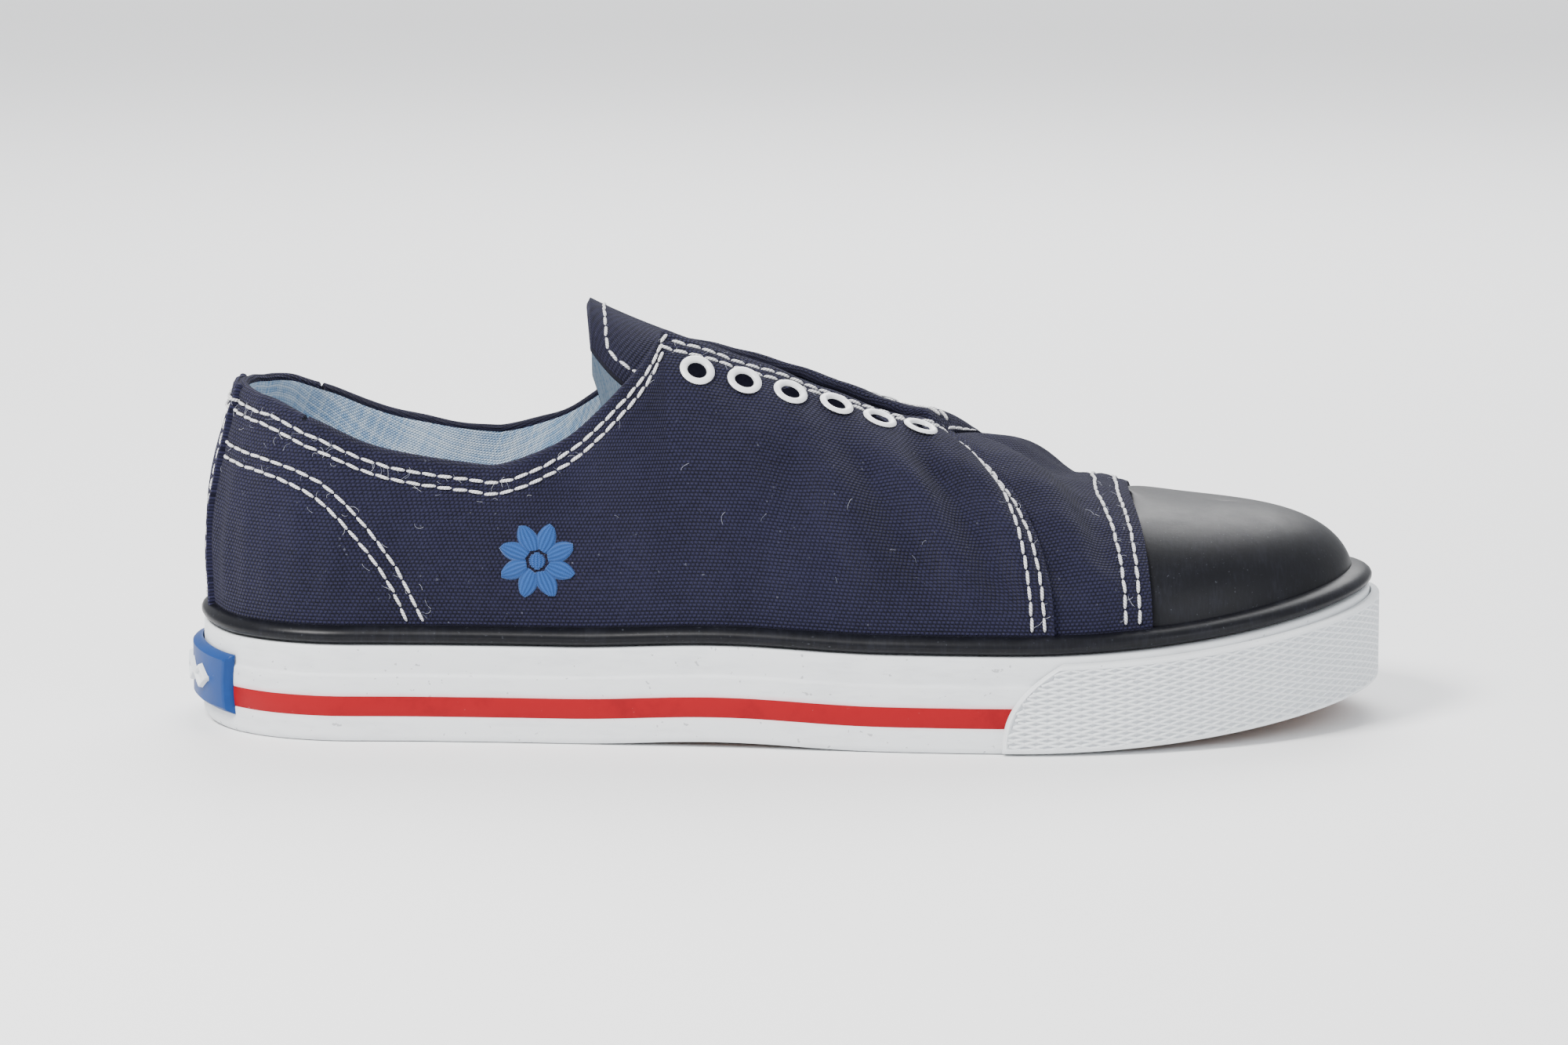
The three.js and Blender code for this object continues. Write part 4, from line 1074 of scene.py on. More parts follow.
def front_lines(last):
    """Two rows behind each quarter's front edge."""
    lines = []
    base = station_at(THROAT_BASE_AT)
    for side in (LATERAL, MEDIAL):
        lift = np.linspace(last.lift_at_rise(base, last.bead_height + ROW_OVER_BEAD), 1.44, 300)
        pace = last.station_pace(side, base, lift)
        lines += [(side, base - away / pace, lift, last.quarter_wall) for away in FRONT_ROWS]
    return lines


def drawn_forward(lift):
    """How much further forward the vamp's edge lies near the ridge, so that it crosses it in one curve."""
    half_width, curve_reach, furthest = 42, 18, 0.0145
    reach = half_width * np.maximum(0, np.cos(lift)) ** 0.9
    return furthest * np.maximum(0, 1 - reach / curve_reach) ** 2


def vamp_lines(last):
    """Two rows behind the vamp's edge over the toe cap."""
    run = np.linspace(-1, 1, 900)
    side = halves(run)
    edge = station_at(CAP_EDGE_AT)
    low = last.lift_at_rise(edge, last.bead_height + ROW_OVER_BEAD)
    lift = mix(low, QUARTER_TURN - 0.01, 1 - np.abs(run))
    pace = last.station_pace(side, edge, lift)
    edge = edge + drawn_forward(lift)
    return [(side, edge - away / pace, lift, last.vamp_wall) for away in VAMP_ROWS]


def strip_lines(last):
    """One row inside each edge of the heel strip."""
    lines = []
    for side in (LATERAL, MEDIAL):
        station = heel_reach(last, side, STRIP_HALF - STRIP_ROW_INSIDE)
        top = last.edge_lift(side, station)
        lift = np.linspace(last.lift_at_rise(station, last.bead_height + 1), top - 0.02, 300)
        lines.append((side, station, lift, last.quarter_wall + 1.25))
    return lines


def tongue_place(t, run):
    """Where a share of the tongue's length and of its half width lies: side, station, reach and depth."""
    station = mix(station_at(TONGUE_TOP_AT), station_at(TONGUE_BASE_AT), t) + 0 * run
    rounding = np.sqrt(1 - (1 - np.minimum(1, TONGUE_TIP + TONGUE_TIP_RATE * t)) ** 2)
    half = mix(TONGUE_TOP_WIDTH, TONGUE_BASE_WIDTH, t) / 2 * rounding
    ripple = 0.5 * np.sin(9 * t + 2) * (1 - run ** 2) + 0.4 * np.sin(17 * t) * run
    depth = ripple * ease((0.5 - t) / 0.4) - mix(TONGUE_TOP_DEPTH, TONGUE_DEPTH, ease(t / 0.3))
    return halves(run + 0 * t), station, half * np.abs(run), depth


def tongue_lines(last):
    """One row inside the tongue's rounded top and down its sides."""
    side_run, top, end = TONGUE_ROW_RUN, TONGUE_ROW_TOP, TONGUE_ROW_END
    run = np.concatenate([np.linspace(*ends, 200) for ends in
                          ((-side_run, -side_run), (-side_run, side_run), (side_run, side_run))])
    t = np.concatenate([np.linspace(*ends, 200) for ends in ((end, top), (top, top), (top, end))])
    side, station, reach, depth = tongue_place(smoothed(t, 14), smoothed(run, 14))
    return [(side, station, last.lift_at_reach(side, station, reach), depth - TONGUE_CLEAR)]


SEAM_LINES = {
    "tongue": tongue_lines,
    "collar": collar_lines,
    "counter": counter_lines,
    "front": front_lines,
    "vamp": vamp_lines,
    "strip": strip_lines,
}


def seam_tree(last, names):
    """Points of the named seams for a nearest-point search, each with its distance along its seam."""
    lines = [last.over(*np.broadcast_arrays(*line[:3]), line[3]) for name in names
             for line in SEAM_LINES[name](last)]
    points = np.concatenate(lines)
    tree = KDTree(len(points))
    for i, point in enumerate(points):
        tree.insert(point, i)
    tree.balance()
    return tree, np.concatenate([walked(line) for line in lines]), last.stitch_step


def sunk_by_seams(points, seams):
    """How far each point of the cloth is drawn in by the nearest seam: most where the thread goes in."""
    groove_depth, groove_width = 0.36, 0.8
    puff_height, puff_away, puff_width = 0.14, 1.9, 0.9
    tree, run, step = seams
    found = [tree.find(point) for point in points.reshape(-1, 3)]
    away = np.array([hit[2] for hit in found])
    along = run[[hit[1] for hit in found]]
    groove = np.exp(-(away / groove_width) ** 2) * (0.7 + 0.3 * np.cos(2 * math.pi * along / step))
    puff = np.exp(-((away - puff_away) / puff_width) ** 2)
    return (puff_height * puff - groove_depth * groove).reshape(points.shape[:-1])


def seam(last, line, rng):
    """Stitches along one line on the upper: centres in metres, directions and normals."""
    side, station, lift, wall = np.broadcast_arrays(*line)
    fold = np.where(wall > 0, last.creases(side, station, lift), 0)
    points = last.over(side, station, lift, wall + fold)
    place, along, up = along_path(points, last.normal(side, station, lift), last.stitch_step)
    along = unit(along)
    tilt = np.array([rng.uniform(-0.1, 0.1) for _ in place])[:, None]
    return last.place(place + up * 0.05), along + np.cross(up, along) * tilt, up


class Piece:
    """What every operator that models a piece shares."""
    bl_options = {"REGISTER", "UNDO"}

    def execute(self, context):
        self.model(Last())
        return {"FINISHED"}


def with_skirt(last, side, station, wall, offset):
    """The wall of the upper with its foot, which goes down inside the side band."""
    height = np.array([last.outsole_thickness + FOOT_CLEAR, *FOOT_HEIGHTS])
    foot = last.beside(side, station, last.inset - min(offset, last.vamp_wall - 0.1), height)
    return np.concatenate([foot, wall], 1)


def with_skirts(last, start, end, arch, offset):
    """An arch over the foot, with its own foot on both sides."""
    station = in_rows(start, end, len(arch))
    arch = with_skirt(last, LATERAL, station, arch, offset)
    return with_skirt(last, MEDIAL, station, arch[:, ::-1], offset)[:, ::-1]


def arch_places(last, start, end, rows, columns, rise):
    """A grid over the foot, from a rise on the outer side to the inner: its sides, stations and lifts."""
    station = in_rows(start, end, rows)
    run = in_columns(-1, 1, columns)
    lift = mix(last.lift_at_rise(station, rise), QUARTER_TURN, 1 - np.abs(run))
    return halves(run + 0 * station), station + 0 * run, lift


def wall_piece(name, last, outer, inner, slot, finishes, node, **edges):
    """A closed wall that stands for a node of the frame."""
    settle(sleeve(name, outer, inner, last, **edges), finishes, (node,))


class SNEAKER_OT_quarters(Piece, bpy.types.Operator):
    """Model the canvas quarters with their lining, from the front seams round the heel"""
    bl_idname = "sneaker.quarters"
    bl_label = "Quarters"

    edge_puff = 0.4
    edge_width = 1.1

    def model(self, last):
        run = in_rows(-1, 1, 481)
        turn = np.sign(run) * (1 - (1 - np.abs(run)) ** 1.25)
        side = halves(turn)
        front = station_at(THROAT_BASE_AT)
        station = np.abs(turn) * front
        low = last.lift_at_rise(station, WALL_FROM)
        top = last.edge_lift(side, station)
        seams = seam_tree(last, ("collar", "counter", "front"))

        def wall(offset, share, up, sewn):
            sides, stations, lift = np.broadcast_arrays(side, station, mix(low, top, up[None, :]))
            fold = last.creases(sides, stations, lift) * share
            if sewn:
                fold = fold + sunk_by_seams(last.over(sides, stations, lift, offset), seams)
                away = (front - stations) * last.station_pace(sides, stations, lift)
                fold = fold + self.edge_puff * np.exp(-(away / self.edge_width) ** 2)
            return with_skirt(last, side, station, last.over(sides, stations, lift, offset + fold), offset)

        outer = wall(last.quarter_wall, 1, 1 - (1 - np.linspace(0, 1, 100)) ** 1.5, True)
        inner = wall(LINING_AT, LINING_FOLDS, np.linspace(0, 1, 26), False)
        wall_piece("quarters", last, outer, inner, "canvas", ["canvas", "lining"], "upper")


class SNEAKER_OT_vamp(Piece, bpy.types.Operator):
    """Model the canvas vamp between the quarters and the toe cap"""
    bl_idname = "sneaker.vamp"
    bl_label = "Vamp"

    def model(self, last):
        start, end = station_at(THROAT_BASE_AT - 0.004), station_at(CAP_EDGE_AT)
        side, station, lift = arch_places(last, start, end, 60, 181, WALL_FROM)
        station = station + drawn_forward(lift) * (station - start) / (end - start)
        fold = last.creases(side, station, lift)
        sewn = sunk_by_seams(last.over(side, station, lift, last.vamp_wall), seam_tree(last, ("vamp",)))
        outer = last.over(side, station, lift, last.vamp_wall + fold + sewn)
        inner = last.over(side, station, lift, LINING_AT + fold * LINING_FOLDS)
        outer = with_skirts(last, start, end, outer, last.vamp_wall)
        inner = with_skirts(last, start, end, inner, LINING_AT)
        wall_piece("vamp", last, outer, inner, "canvas", ["canvas", "lining"], "upper", round_high=False)


class SNEAKER_OT_toe_cap(Piece, bpy.types.Operator):
    """Model the smooth dark rubber cap over the toe"""
    bl_idname = "sneaker.toe_cap"
    bl_label = "Toe cap"

    outside = 2.0
    inside = 0.1
    smooth_reach = 13

    def model(self, last):
        start = station_at(CAP_EDGE_AT - 0.012)
        places = arch_places(last, start, math.pi, 60, 111, 0.8)
        outer, inner = (with_skirts(last, start, math.pi, last.over(*places, offset), offset)
                        for offset in (self.outside, self.inside))
        obj = sleeve("toe_cap_skin", outer, inner, last, round_high=False, close_ends=False)
        self.close_rear(obj)
        self.even_tip(obj, last)
        settle(obj, ["cap_rubber", "lining"], ("toe_cap",))

    def close_rear(self, obj):
        """Fills the open rear edge of the wall."""
        only(obj)
        bpy.ops.object.mode_set(mode="EDIT")
        bpy.ops.mesh.select_all(action="DESELECT")
        bpy.ops.mesh.select_non_manifold(extend=False)
        bpy.ops.mesh.fill()
        bpy.ops.mesh.select_all(action="SELECT")
        bpy.ops.mesh.normals_make_consistent(inside=False)
        bpy.ops.object.mode_set(mode="OBJECT")

    def even_tip(self, obj, last):
        """Smooths the cap where its stations run together."""
        pole = Vector(last.place(last.ridge(np.array(math.pi))))
        only(obj)
        for vertex in obj.data.vertices:
            vertex.select = (vertex.co - pole).length < self.smooth_reach * MM
        bpy.ops.object.mode_set(mode="EDIT")
        bpy.context.tool_settings.mesh_select_mode = (True, False, False)
        bpy.ops.mesh.vertices_smooth(factor=0.5, repeat=40)
        bpy.ops.object.mode_set(mode="OBJECT")


class SNEAKER_OT_tongue(Piece, bpy.types.Operator):
    """Model the tongue under the throat"""
    bl_idname = "sneaker.tongue"
    bl_label = "Tongue"

    def grid(self, last, offset):
        t = in_rows(0, 1, 110)
        side, station, reach, depth = tongue_place(t, in_columns(-1, 1, 71))
        lift = last.lift_at_reach(side, station, reach)
        covered = 0.7 * last.creases(side, station, lift) * ease((t - 0.25) / 0.2)
        return last.over(side, station, lift, offset + depth + covered)

    def model(self, last):
        outer, inner = self.grid(last, -TONGUE_CLEAR), self.grid(last, -TONGUE_CLEAR - TONGUE_THICKNESS)
        wall_piece("tongue_cloth", last, outer, inner, "canvas", ["canvas", "lining"], "tongue",
                   round_low=True)


class SNEAKER_OT_insole(Piece, bpy.types.Operator):
    """Model the cloth-covered insole"""
    bl_idname = "sneaker.insole"
    bl_label = "Insole"

    def model(self, last):
        station = in_rows(0, math.pi, 120)
        run = in_columns(-1, 1, 41)
        low = last.outsole_thickness + last.gap
        bevel, crown = 0.6, 0.6

        def layer(extra, height):
            outer, inner = (last.beside(side, station, last.inset + last.gap + extra, height)
                            for side in (LATERAL, MEDIAL))
            return mix(outer, inner, (run[..., None] + 1) / 2)

        top = layer(bevel, 0)
        top[..., 2] += low + (last.insole_thickness - crown * (1 - np.abs(run) ** 3))
        wall_piece("insole_cloth", last, top, layer(0.0, low), "lining", ["lining", "lining"], "insole",
                   round_high=False, close_ends=False)


class SNEAKER_OT_side_band(Piece, bpy.types.Operator):
    """Model the white side band, its red stripe and the dark bead on top of it"""
    bl_idname = "sneaker.side_band"
    bl_label = "Side band"

    bead_proud = 0.35
    bead_lean = 0.9
    cap_step = 0.4
    step_length = 0.014

    def model(self, last):
        wall, high = last.band_wall, last.band_height
        band = (
            (wall, 0.0), (1.7, 0.0), (1.0, 0.12), (0.45, 0.45), (0.12, 1.0), (0.0, 1.7),
            (0.0, 3.6), (0.0, 5.8), (0.1, 6.15), (0.45, 6.3), (0.45, 10.8), (0.1, 10.95), (0.0, 11.3),
            (0.0, 13.0), (0.02, 15.3), (0.12, 15.85), (0.42, 16.1), (0.52, 16.5), (0.4, 17.4),
            (0.38, 20.0), (0.42, 22.2), (0.65, 22.75), (1.1, high), (wall, high), (wall, 12.0),
        )
        stripe = (
            (0.42, 6.15), (0.1, 6.2), (0.0, 6.5), (-0.03, 8.5), (0.0, 10.6), (0.1, 10.9), (0.42, 10.95),
        )
        settle(ring_piece("side_band_rubber", last, band), ["band_rubber"], ("side_band",))
        settle(ring_piece("side_stripe_rubber", last, stripe), ["red_rubber"],
               ("side_stripe",))
        self.bead(last)

    def bead(self, last):
        side, station = ring_stations(RING_ROWS)
        share = share_at(station)
        cap, front = (ease((share - at) / self.step_length) for at in (CAP_EDGE_AT, THROAT_BASE_AT))
        seat = mix(last.quarter_wall, last.vamp_wall, front) - self.cap_step * cap - self.bead_proud
        face = (last.inset - seat)[:, None]
        turn = np.linspace(0, math.pi, 11)
        high = (1 - np.cos(turn)) / 2
        inset = face - (face + self.bead_proud) * np.sin(turn) ** 0.8 + self.bead_lean * high ** 2
        height = last.band_height + 0.15 + last.bead_height * high
        points = last.beside(side[:, None], station[:, None], inset, height)
        obj = mapped_piece("top_bead_rubber", last, np.concatenate([points, points[:, :1]], 1))
        settle(obj, ["bead_rubber"], ("top_bead",))


class SNEAKER_OT_toe_bumper(Piece, bpy.types.Operator):
    """Model the white toe bumper with its raised diamond lattice"""
    bl_idname = "sneaker.toe_bumper"
    bl_label = "Toe bumper"

    pitch_along = 5.2
    pitch_up = 1.58
    relief = 0.6
    lip = 1.1
    low = 0.5
    proud = 0.3
    lean_power = 2.6
    ridge_foot = -0.1
    shoulder = 0.14

    def by_toe(self, last, side, read):
        """What a reading gives for each side from its stations and their distances from the toe's tip."""
        station = np.linspace(math.pi, 1.6, 3000)
        return by_side(side, lambda one: read(station, walked(last.edge(one, station, 0))))

    def rear(self, last, side, height):
        """How far from the toe's tip the slanted rear end lies at a height."""
        share = np.clip((height - self.low) / last.bumper_height, 0, 1)
        end = station_at(mix(BUMPER_LOW_AT, BUMPER_HIGH_AT, share ** self.lean_power))
        return self.by_toe(last, side, lambda station, run: np.interp(-end, -station, run))

    def stations(self, last, side, reach):
        return self.by_toe(last, side, lambda station, run: np.interp(reach, run, station))

    def model(self, last):
        self.base(last)
        self.lattice(last)

    def base(self, last):
        tall = last.bumper_height
        rows = in_rows(-1, 1, 261)
        lines = [np.linspace(*ends) for ends in ((0, 2.2, 9), (2.9, tall - 2.9, 16), (tall - 2.2, tall, 9))]
        height = np.concatenate(lines)[None, :] + self.low
        side = halves(rows + 0 * height)
        ends = self.rear(last, side, height)
        reach = (1 - (1 - np.abs(rows)) ** 1.15) * ends
        station = self.stations(last, side, reach)
        inside = np.minimum(np.minimum(height - self.low, self.low + tall - height), ends - reach)
        sunk = self.relief * ease((inside - self.lip) / 0.5)
        corner = np.clip(1 - inside, 0, 1)
        out = self.proud + last.bumper_wall - sunk - (1 - np.sqrt(1 - corner ** 2))
        outer = last.beside(side, station, -out, height)
        inner = last.beside(side, station, -0.02, height)
        # The base takes the rubber with painted shade in its sunken diamonds.
        wall_piece("toe_bumper_rubber", last, outer, inner, "white_rubber",
                   ["bumper_floor", "bumper_floor"], "toe_bumper", round_high=False, across=inside)

    def lattice(self, last):
        """Thin ridges that cross and leave sunken diamonds between them."""
        high = self.low + last.bumper_height - self.lip
        height = np.linspace(self.low + self.lip, high, 47)
        up_count = (height - self.low) / self.pitch_up
        floor = self.proud + last.bumper_wall - self.relief
        bars = []
        for slant in (1, -1):
            for number in range(-40, 41):
                reach = self.pitch_along * (number - slant * up_count)
                side = halves(reach)
                station = self.stations(last, side, np.abs(reach))
                kept = np.abs(reach) < self.rear(last, side, height) - self.lip
                if kept.sum() < 3:
                    continue
                place = last.beside(side, station, -floor, height)[kept]
                bars.append((place, last.beside(side, station, -floor - 1, height)[kept] - place))
        half = ((0.5, self.ridge_foot), (0.25, self.relief - self.shoulder), (0.1, self.relief))
        section = (*half, *((-across, up) for across, up in reversed(half)))
        swept_piece("bumper_lattice", bars, section, "bumper_rubber", ("toe_bumper",))


class SNEAKER_OT_outsole(Piece, bpy.types.Operator):
    """Model the brown outsole with its sunken tread and raised bars"""
    bl_idname = "sneaker.outsole"
    bl_label = "Outsole"

    def model(self, last):
        self.plate(last)
        self.bars(last)

    def plate(self, last):
        profile = (
            (0.0, last.outsole_thickness), (0.0, 0.0), (3.0, 0.0), (6.8, 0.0), (7.8, 0.08),
            (8.6, 0.4), (9.1, 1.0), (9.5, 1.7), (10.1, 2.3), (11.0, 2.6),
        )
        station = np.linspace(0, math.pi, 221)
        out, back = ([last.beside(side, station, last.band_wall + 0.05 + inset, height)
                      for inset, height in profile] for side in (LATERAL, MEDIAL))
        floor = [mix(out[-1], back[-1], t) for t in np.linspace(0, 1, 14)[1:-1]]
        top = [mix(back[0], out[0], t) for t in np.linspace(0, 1, 6)[1:]]
        points = np.stack([*out, *floor, *back[::-1], *top], 1)
        obj = mapped_piece("outsole_rubber", last, points)
        settle(obj, ["gum_rubber"], ("outsole",))

    def bars(self, last):
        deselect()
        parts = []
        turn = np.linspace(0, 2 * math.pi, 41)
        for at, across, long, angle in zip(*(TREAD_BARS[k] for k in ("at", "across", "long", "turn"))):
            half = long * last.half_ball
            a = math.radians(angle)
            chain = []
            for radius, height in BAR_PROFILE:
                straight = np.where(np.cos(turn) >= 0, half - BAR_END, BAR_END - half) * (radius > 1)
                x = straight + radius * np.cos(turn)
                y = radius * np.sin(turn)
                px = at * last.sole_length + x * math.cos(a) - y * math.sin(a)
                py = across * last.half_ball + x * math.sin(a) + y * math.cos(a)
                chain.append(np.stack([px, py, last.bottom(px) + height], -1))
            chain.insert(0, np.broadcast_to(chain[0].mean(0), chain[0].shape))
            parts.append(mapped_piece("tread_bar", last, np.stack(chain, 1)))
        for part in parts:
            part.select_set(True)
        bpy.context.view_layer.objects.active = parts[0]
        bpy.ops.object.join()
        parts[0].name = "tread_bars"
        settle(parts[0], ["gum_rubber"], ("outsole",))


class SNEAKER_OT_heel(Piece, bpy.types.Operator):
    """Model the strip over the back seam, and the badge with its linked diamonds"""
    bl_idname = "sneaker.heel"
    bl_label = "Heel strip and badge"

    strip_proud = 1.0
    strip_sunk = 0.4
    hem_inside = 0.7
    hem_width = 0.8
    hem_height = 0.55
    hem_pucker = 0.1
    badge_half = 27
    badge_low = 4.3
    badge_height = 14.2
    badge_foot = 0.3
    badge_rise = 2.0
    badge_bevel = 1.5
    chain_half = 19
    chain_middle = 11.4
    links = 5
    link_half = 3.0
    link_neck = 0.95
    link_foot = 2.25
    link_rise = 1.15
    link_sunk = 0.75
    rim_width = 0.95

    def model(self, last):
        self.strip(last)
        self.badge(last)
        self.chain(last)

    def strip(self, last):
        run = in_rows(-1, 1, 81)
        side = halves(run)
        station = heel_reach(last, side, np.abs(run) * STRIP_HALF)
        low = last.lift_at_rise(station, last.bead_height - 0.5)
        lift = mix(low, last.edge_lift(side, station) + 0.004, in_columns(0, 1, 60))
        side, station = np.broadcast_arrays(side, station, lift)[:2]
        fold = last.quarter_wall + last.creases(side, station, lift)
        edge = np.exp(-(((1 - np.abs(run)) * STRIP_HALF - self.hem_inside) / self.hem_width) ** 2)
        hem = (self.hem_height + self.hem_pucker * np.sin(lift * 55)) * edge
        outer = last.over(side, station, lift, fold + self.strip_proud + hem)
        inner = last.over(side, station, lift, fold - self.strip_sunk)
        wall_piece("heel_strip_cloth", last, outer, inner, "canvas", ["strip_canvas", "strip_canvas"],
                   "heel_strip")

    def plate(self, name, last, run, reach, height, out, foot, slot, finish_name, node):
        """A plate on the back of the band: how far it reaches to each side, its heights and how far out."""
        side = halves(run + 0 * height)
        station = heel_reach(last, side, reach)
        outer = last.beside(side, station, -out, height)
        inner = last.beside(side, station, foot, height)
        wall_piece(name, last, outer, inner, slot, [finish_name, finish_name], node, round_high=False)

    def badge(self, last):
        run = in_rows(-1, 1, 101)
        high = in_columns(0, 1, 33)
        reach = self.badge_half * (1 - 0.03 * np.sin(math.pi * high)) * np.abs(run)
        from_ends = (1 - np.abs(run)) * self.badge_half
        inside = np.minimum(np.minimum(high, 1 - high) * self.badge_height, from_ends)
        out = self.badge_foot + self.badge_rise * ease(inside / self.badge_bevel + 0.12)
        height = self.badge_low + self.badge_height * high
        self.plate("heel_badge_rubber", last, run, reach, height, out, 0.02, "blue_rubber", "blue_rubber",
                   "heel_badge")

    def chain(self, last):
        """Linked diamonds, each with a sunken middle."""
        run = in_rows(-1, 1, 241)
        high = in_columns(-1, 1, 41)
        link = np.abs((run + 1) * self.links / 2 % 1 - 0.5) * 2
        ends = ease((1 - np.abs(run)) / 0.01 + 0.25)
        half = self.link_half * np.maximum(0.2, 1 - self.link_neck * link) * ends
        rim = (1 - np.abs(high)) * half
        sunk = ease((rim - self.rim_width) / 0.35) * ease((1 - self.link_neck * link - 0.42) / 0.1)
        out = self.link_foot + self.link_rise * ease(rim / 0.45 + 0.1) - self.link_sunk * sunk
        reach = np.abs(run) * self.chain_half
        height = self.chain_middle + half * high
        self.plate("badge_chain_rubber", last, run, reach, height, out, -2.1, "white_rubber",
                   "chain_rubber", "badge_chain")


class SNEAKER_OT_eyelets(Piece, bpy.types.Operator):
    """Model the enamelled eyelets, each with a dark disc of painted shade that stands for the depth inside
    it
    """
    bl_idname = "sneaker.eyelets"
    bl_label = "Eyelets"

    from_throat = 8
    ring = (
        (2.3, -3.1), (2.7, -3.1), (2.75, 0.1), (3.1, 0.3), (4.15, 0.3), (4.2, 0.45), (4.0, 0.72),
        (3.5, 0.95), (3.0, 0.95), (2.6, 0.75), (2.35, 0.35), (2.3, -0.4), (2.3, -3.1),
    )
    # A thin disc over the cloth inside the ring, which carries the painted shade.
    disc = ((0.001, 0.12), (2.32, 0.12), (2.32, 0.02), (0.001, 0.02), (0.001, 0.12))

    def model(self, last):
        for side, word in ((LATERAL, "outer"), (MEDIAL, "inner")):
            for i in range(EYELETS_A_SIDE):
                station = station_at(mix(EYELET_FIRST_AT, EYELET_LAST_AT, i / (EYELETS_A_SIDE - 1)))
                reach = read_rows(THROAT, "open", station) * last.throat_gap + self.from_throat
                lift = last.lift_at_reach(side, station, reach)
                wall = last.quarter_wall + last.creases(side, station, lift)
                centre = last.over(side, station, lift, wall)
                up = last.normal(side, station, lift)
                name = f"eyelet_{word}_{i + 1}"
                settle(self.turned(f"{name}_ring", last, centre, up, self.ring, 33),
                       ["enamel"], (name,))
                settle(self.turned(f"{name}_hole", last, centre, up, self.disc, 17),
                       ["eyelet_hole"])

    def turned(self, name, last, centre, up, profile, count):
        """A profile of (radius, height) pairs turned round the eyelet's axis."""
        one = unit(np.cross(up, [1, 0, 0]))
        two = np.cross(up, one)
        turn = np.linspace(0, 2 * math.pi, count)[:, None, None]
        radius, height = np.array(profile).T[..., None]
        points = centre + (np.cos(turn) * one + np.sin(turn) * two) * radius + up * height
        return mapped_piece(name, last, points)


class SNEAKER_OT_seams(Piece, bpy.types.Operator):
    """Sew the double rows of white stitches"""
    bl_idname = "sneaker.seams"
    bl_label = "Seams"

    def model(self, last):
        rng = random.Random(SEED)
        for name, lines in SEAM_LINES.items():
            rows = zip(*(seam(last, line, rng) for line in lines(last)))
            strands_piece(f"{name}_stitches", *map(np.concatenate, rows), last.stitch_length * MM,
                          last.thread_thickness * MM, "thread")


class SNEAKER_OT_lint(Piece, bpy.types.Operator):
    """Scatter fine loose fibres over the canvas, with more of them at the seams and the collar"""
    bl_idname = "sneaker.lint"
    bl_label = "Lint"

    shares = {"collar": 0.05, "counter": 0.05, "front": 0.04, "vamp": 0.03}
    elsewhere = 34
    spread_along = 0.012
    spread_up = 0.02
    over_cloth = 0.12
    half_thickness = 0.035
    steps = 7

    def model(self, last):
        rng = random.Random(SEED + 1)
        fibres = []
        for name, share in self.shares.items():
            for line in SEAM_LINES[name](last):
                side, station, lift, wall = np.broadcast_arrays(*line)
                for _ in range(int(len(station) * share)):
                    i = rng.randrange(len(station))
                    at = station[i] + rng.gauss(0, self.spread_along)
                    high = min(lift[i] + rng.gauss(0, self.spread_up), 1.5)
                    fibres.append(self.fibre(last, int(side[i]), at, high, float(wall[i]), rng))
        for _ in range(self.elsewhere):
            side = rng.choice((LATERAL, MEDIAL))
            fibres.append(self.fibre(last, side, rng.uniform(0.5, 2.0), rng.uniform(0.25, 0.75),
                                     last.quarter_wall, rng))
        half = self.half_thickness
        section = ((half, 0.0), (0.0, half), (-half, 0.0), (0.0, -half))
        swept_piece("lint_fibres", fibres, section, "lint")

    def fibre(self, last, side, station, lift, wall, rng):
        """One curled fibre that lies on the canvas."""
        station = float(np.clip(station, 0.02, 2.2))
        lift = min(float(lift), float(last.edge_lift(side, station)) - 0.03)
        wall = wall + last.creases(side, station, lift) + self.over_cloth
        centre = last.over(side, station, lift, wall)
        up = last.normal(side, station, lift)
        one = unit(np.cross(up, (0, 0, 1)))
        two = np.cross(up, one)
        turn, bend = rng.uniform(0, 2 * math.pi), rng.uniform(-1.2, 1.2)
        step = rng.uniform(1.2, 3.4) / self.steps
        points, high = [np.zeros(3)], rng.uniform(0.05, 0.4)
        for _ in range(self.steps):
            turn += bend / 4 + rng.uniform(-0.25, 0.25)
            points.append(points[-1] + step * (math.cos(turn) * one + math.sin(turn) * two))
        points = np.array(points) + np.sin(in_rows(0, math.pi, self.steps + 1)) * up * high
        return centre + points - points[4] * 0.5, np.broadcast_to(up, points.shape)


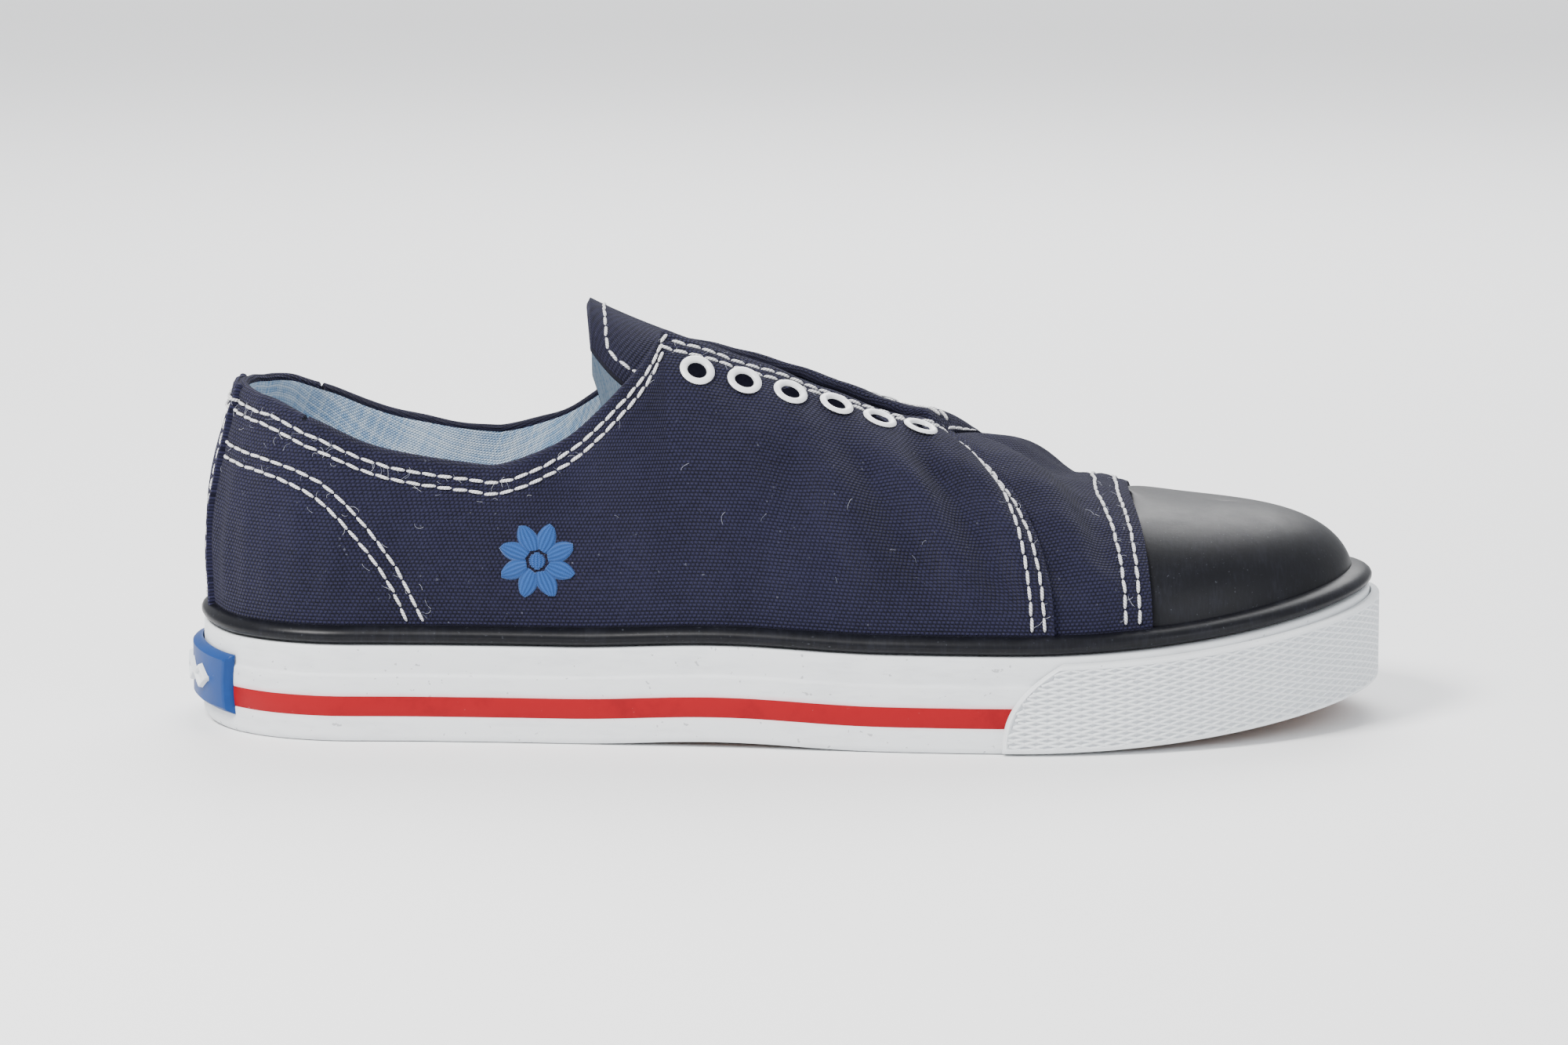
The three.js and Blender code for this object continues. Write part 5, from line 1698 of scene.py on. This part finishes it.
class SNEAKER_OT_rosette(Piece, bpy.types.Operator):
    """Embroider a plain rosette on the outer side in blue satin stitch"""
    bl_idname = "sneaker.rosette"
    bl_label = "Rosette"

    petals = 8
    radius = 9.0
    petals_from = 2.6
    petal_half = 2.15
    slant = 0.35
    first_turn = 0.39
    core = 1.9
    middle_at = 0.29
    over_bead = 15.5
    thread = 0.62

    def surface(self, last, place):
        """Points of the quarter by their distances from the rosette's middle."""
        station = station_at(self.middle_at + place[:, 0] / last.sole_length)
        lift = last.lift_at_rise(station, last.bead_height + self.over_bead + place[:, 1] * 0.97)
        point = last.over(LATERAL, station, lift, last.quarter_wall + last.creases(LATERAL, station, lift))
        return point, last.normal(LATERAL, station, lift)

    def model(self, last):
        starts, ends = [], []
        for k in range(self.petals):
            turn = 2 * math.pi * k / self.petals + self.first_turn
            ahead = np.array([math.cos(turn), math.sin(turn)])
            across = np.array([-ahead[1], ahead[0]])
            for t in np.linspace(0.05, 0.97, 19):
                reach = mix(self.petals_from, self.radius, t)
                half = self.petal_half * math.sin(math.pi * min(1, t * 0.86 + 0.1)) ** 0.7 + 0.15
                starts.append(ahead * (reach - self.slant) - across * half)
                ends.append(ahead * (reach + self.slant) + across * half)
        for t in np.linspace(-0.95, 0.95, 9):
            half = self.core * math.sqrt(1 - t * t)
            starts.append((-half, self.core * t))
            ends.append((half, self.core * t))
        starts, ends = np.array(starts), np.array(ends)
        along = self.surface(last, ends)[0] - self.surface(last, starts)[0]
        centre, up = self.surface(last, (starts + ends) / 2)
        strands_piece("rosette_threads", last.place(centre + up * 0.2), along, up,
                      (length(along) + 0.3) * MM, self.thread * MM, "emblem_thread", 0.5)


class SNEAKER_OT_stage(bpy.types.Operator):
    """Set up the pale floor, the soft lights and the camera"""
    bl_idname = "sneaker.stage"
    bl_label = "Stage"

    floor_size = 6
    lens = 149
    distance = 1.55
    elevation = math.radians(10)
    target_height = 0.046

    def execute(self, context):
        self.floor()
        self.lights(context)
        self.camera(context)
        return {"FINISHED"}

    def floor(self):
        deselect()
        bpy.ops.mesh.primitive_plane_add(size=self.floor_size, location=(0, 0, 0))
        floor = bpy.context.object
        floor.name = "studio_floor"
        floor.data.materials.append(finish("floor"))

    def lights(self, context):
        world = bpy.data.worlds.new("studio_world")
        world.use_nodes = True
        background = world.node_tree.nodes["Background"]
        background.inputs["Color"].default_value = (0.95, 0.97, 1.0, 1)
        background.inputs["Strength"].default_value = 0.85
        context.scene.world = world
        # Each lamp's place, what it aims at, its size in metres, its power in watts and its colour.
        middle, behind = (0, 0, 0.04), (0, 2.4, 0.04)
        lamps = (
            ("key_light", (-0.6, -0.55, 0.95), middle, 0.4, 27.0, (1, 0.985, 0.96)),
            ("fill_light", (0.85, -0.8, 0.5), middle, 0.8, 6.0, (0.95, 0.97, 1)),
            ("back_light", (0.1, 0.85, 0.85), middle, 0.9, 14.0, (1, 1, 1)),
            ("floor_light", (0.0, 2.4, 1.6), behind, 2.0, 30.0, (1, 1, 1)),
        )
        for name, place, target, size, power, colour in lamps:
            lamp = bpy.data.lights.new(name, "AREA")
            lamp.size = size
            lamp.energy = power
            lamp.color = colour
            self.hang(context, name, lamp, Vector(place), Vector(target))

    def hang(self, context, name, data, place, target):
        """Puts a lamp or the camera at its place, turned to its target."""
        obj = bpy.data.objects.new(name, data)
        obj.location = place
        obj.rotation_euler = (target - place).to_track_quat("-Z", "Y").to_euler()
        context.collection.objects.link(obj)
        return obj

    def camera(self, context):
        target = Vector((0, 0, self.target_height))
        data = bpy.data.cameras.new("camera")
        data.lens = self.lens
        away = Vector((0, -math.cos(self.elevation), math.sin(self.elevation))) * self.distance
        context.scene.camera = self.hang(context, "camera", data, target + away, target)


OPERATORS = (
    SNEAKER_OT_stage,
    SNEAKER_OT_quarters,
    SNEAKER_OT_vamp,
    SNEAKER_OT_toe_cap,
    SNEAKER_OT_tongue,
    SNEAKER_OT_insole,
    SNEAKER_OT_side_band,
    SNEAKER_OT_toe_bumper,
    SNEAKER_OT_outsole,
    SNEAKER_OT_heel,
    SNEAKER_OT_eyelets,
    SNEAKER_OT_seams,
    SNEAKER_OT_lint,
    SNEAKER_OT_rosette,
)


class SNEAKER_PT_panel(bpy.types.Panel):
    """Lists the sneaker's operators"""
    bl_idname = "SNEAKER_PT_panel"
    bl_label = "Sneaker"
    bl_space_type = "VIEW_3D"
    bl_region_type = "UI"
    bl_category = "Sneaker"

    def draw(self, context):
        for operator in OPERATORS:
            self.layout.operator(operator.bl_idname)


def register():
    for group in (SneakerSizes, SneakerColours, *OPERATORS, SNEAKER_PT_panel):
        bpy.utils.register_class(group)
    bpy.types.Scene.sneaker_sizes = bpy.props.PointerProperty(type=SneakerSizes)
    bpy.types.Scene.sneaker_colours = bpy.props.PointerProperty(type=SneakerColours)


def unregister():
    del bpy.types.Scene.sneaker_sizes
    del bpy.types.Scene.sneaker_colours
    for group in reversed((SneakerSizes, SneakerColours, *OPERATORS, SNEAKER_PT_panel)):
        bpy.utils.unregister_class(group)


def main():
    register()
    for operator in OPERATORS:
        module, name = operator.bl_idname.split(".")
        getattr(getattr(bpy.ops, module), name)()


if __name__ == "__main__":
    main()
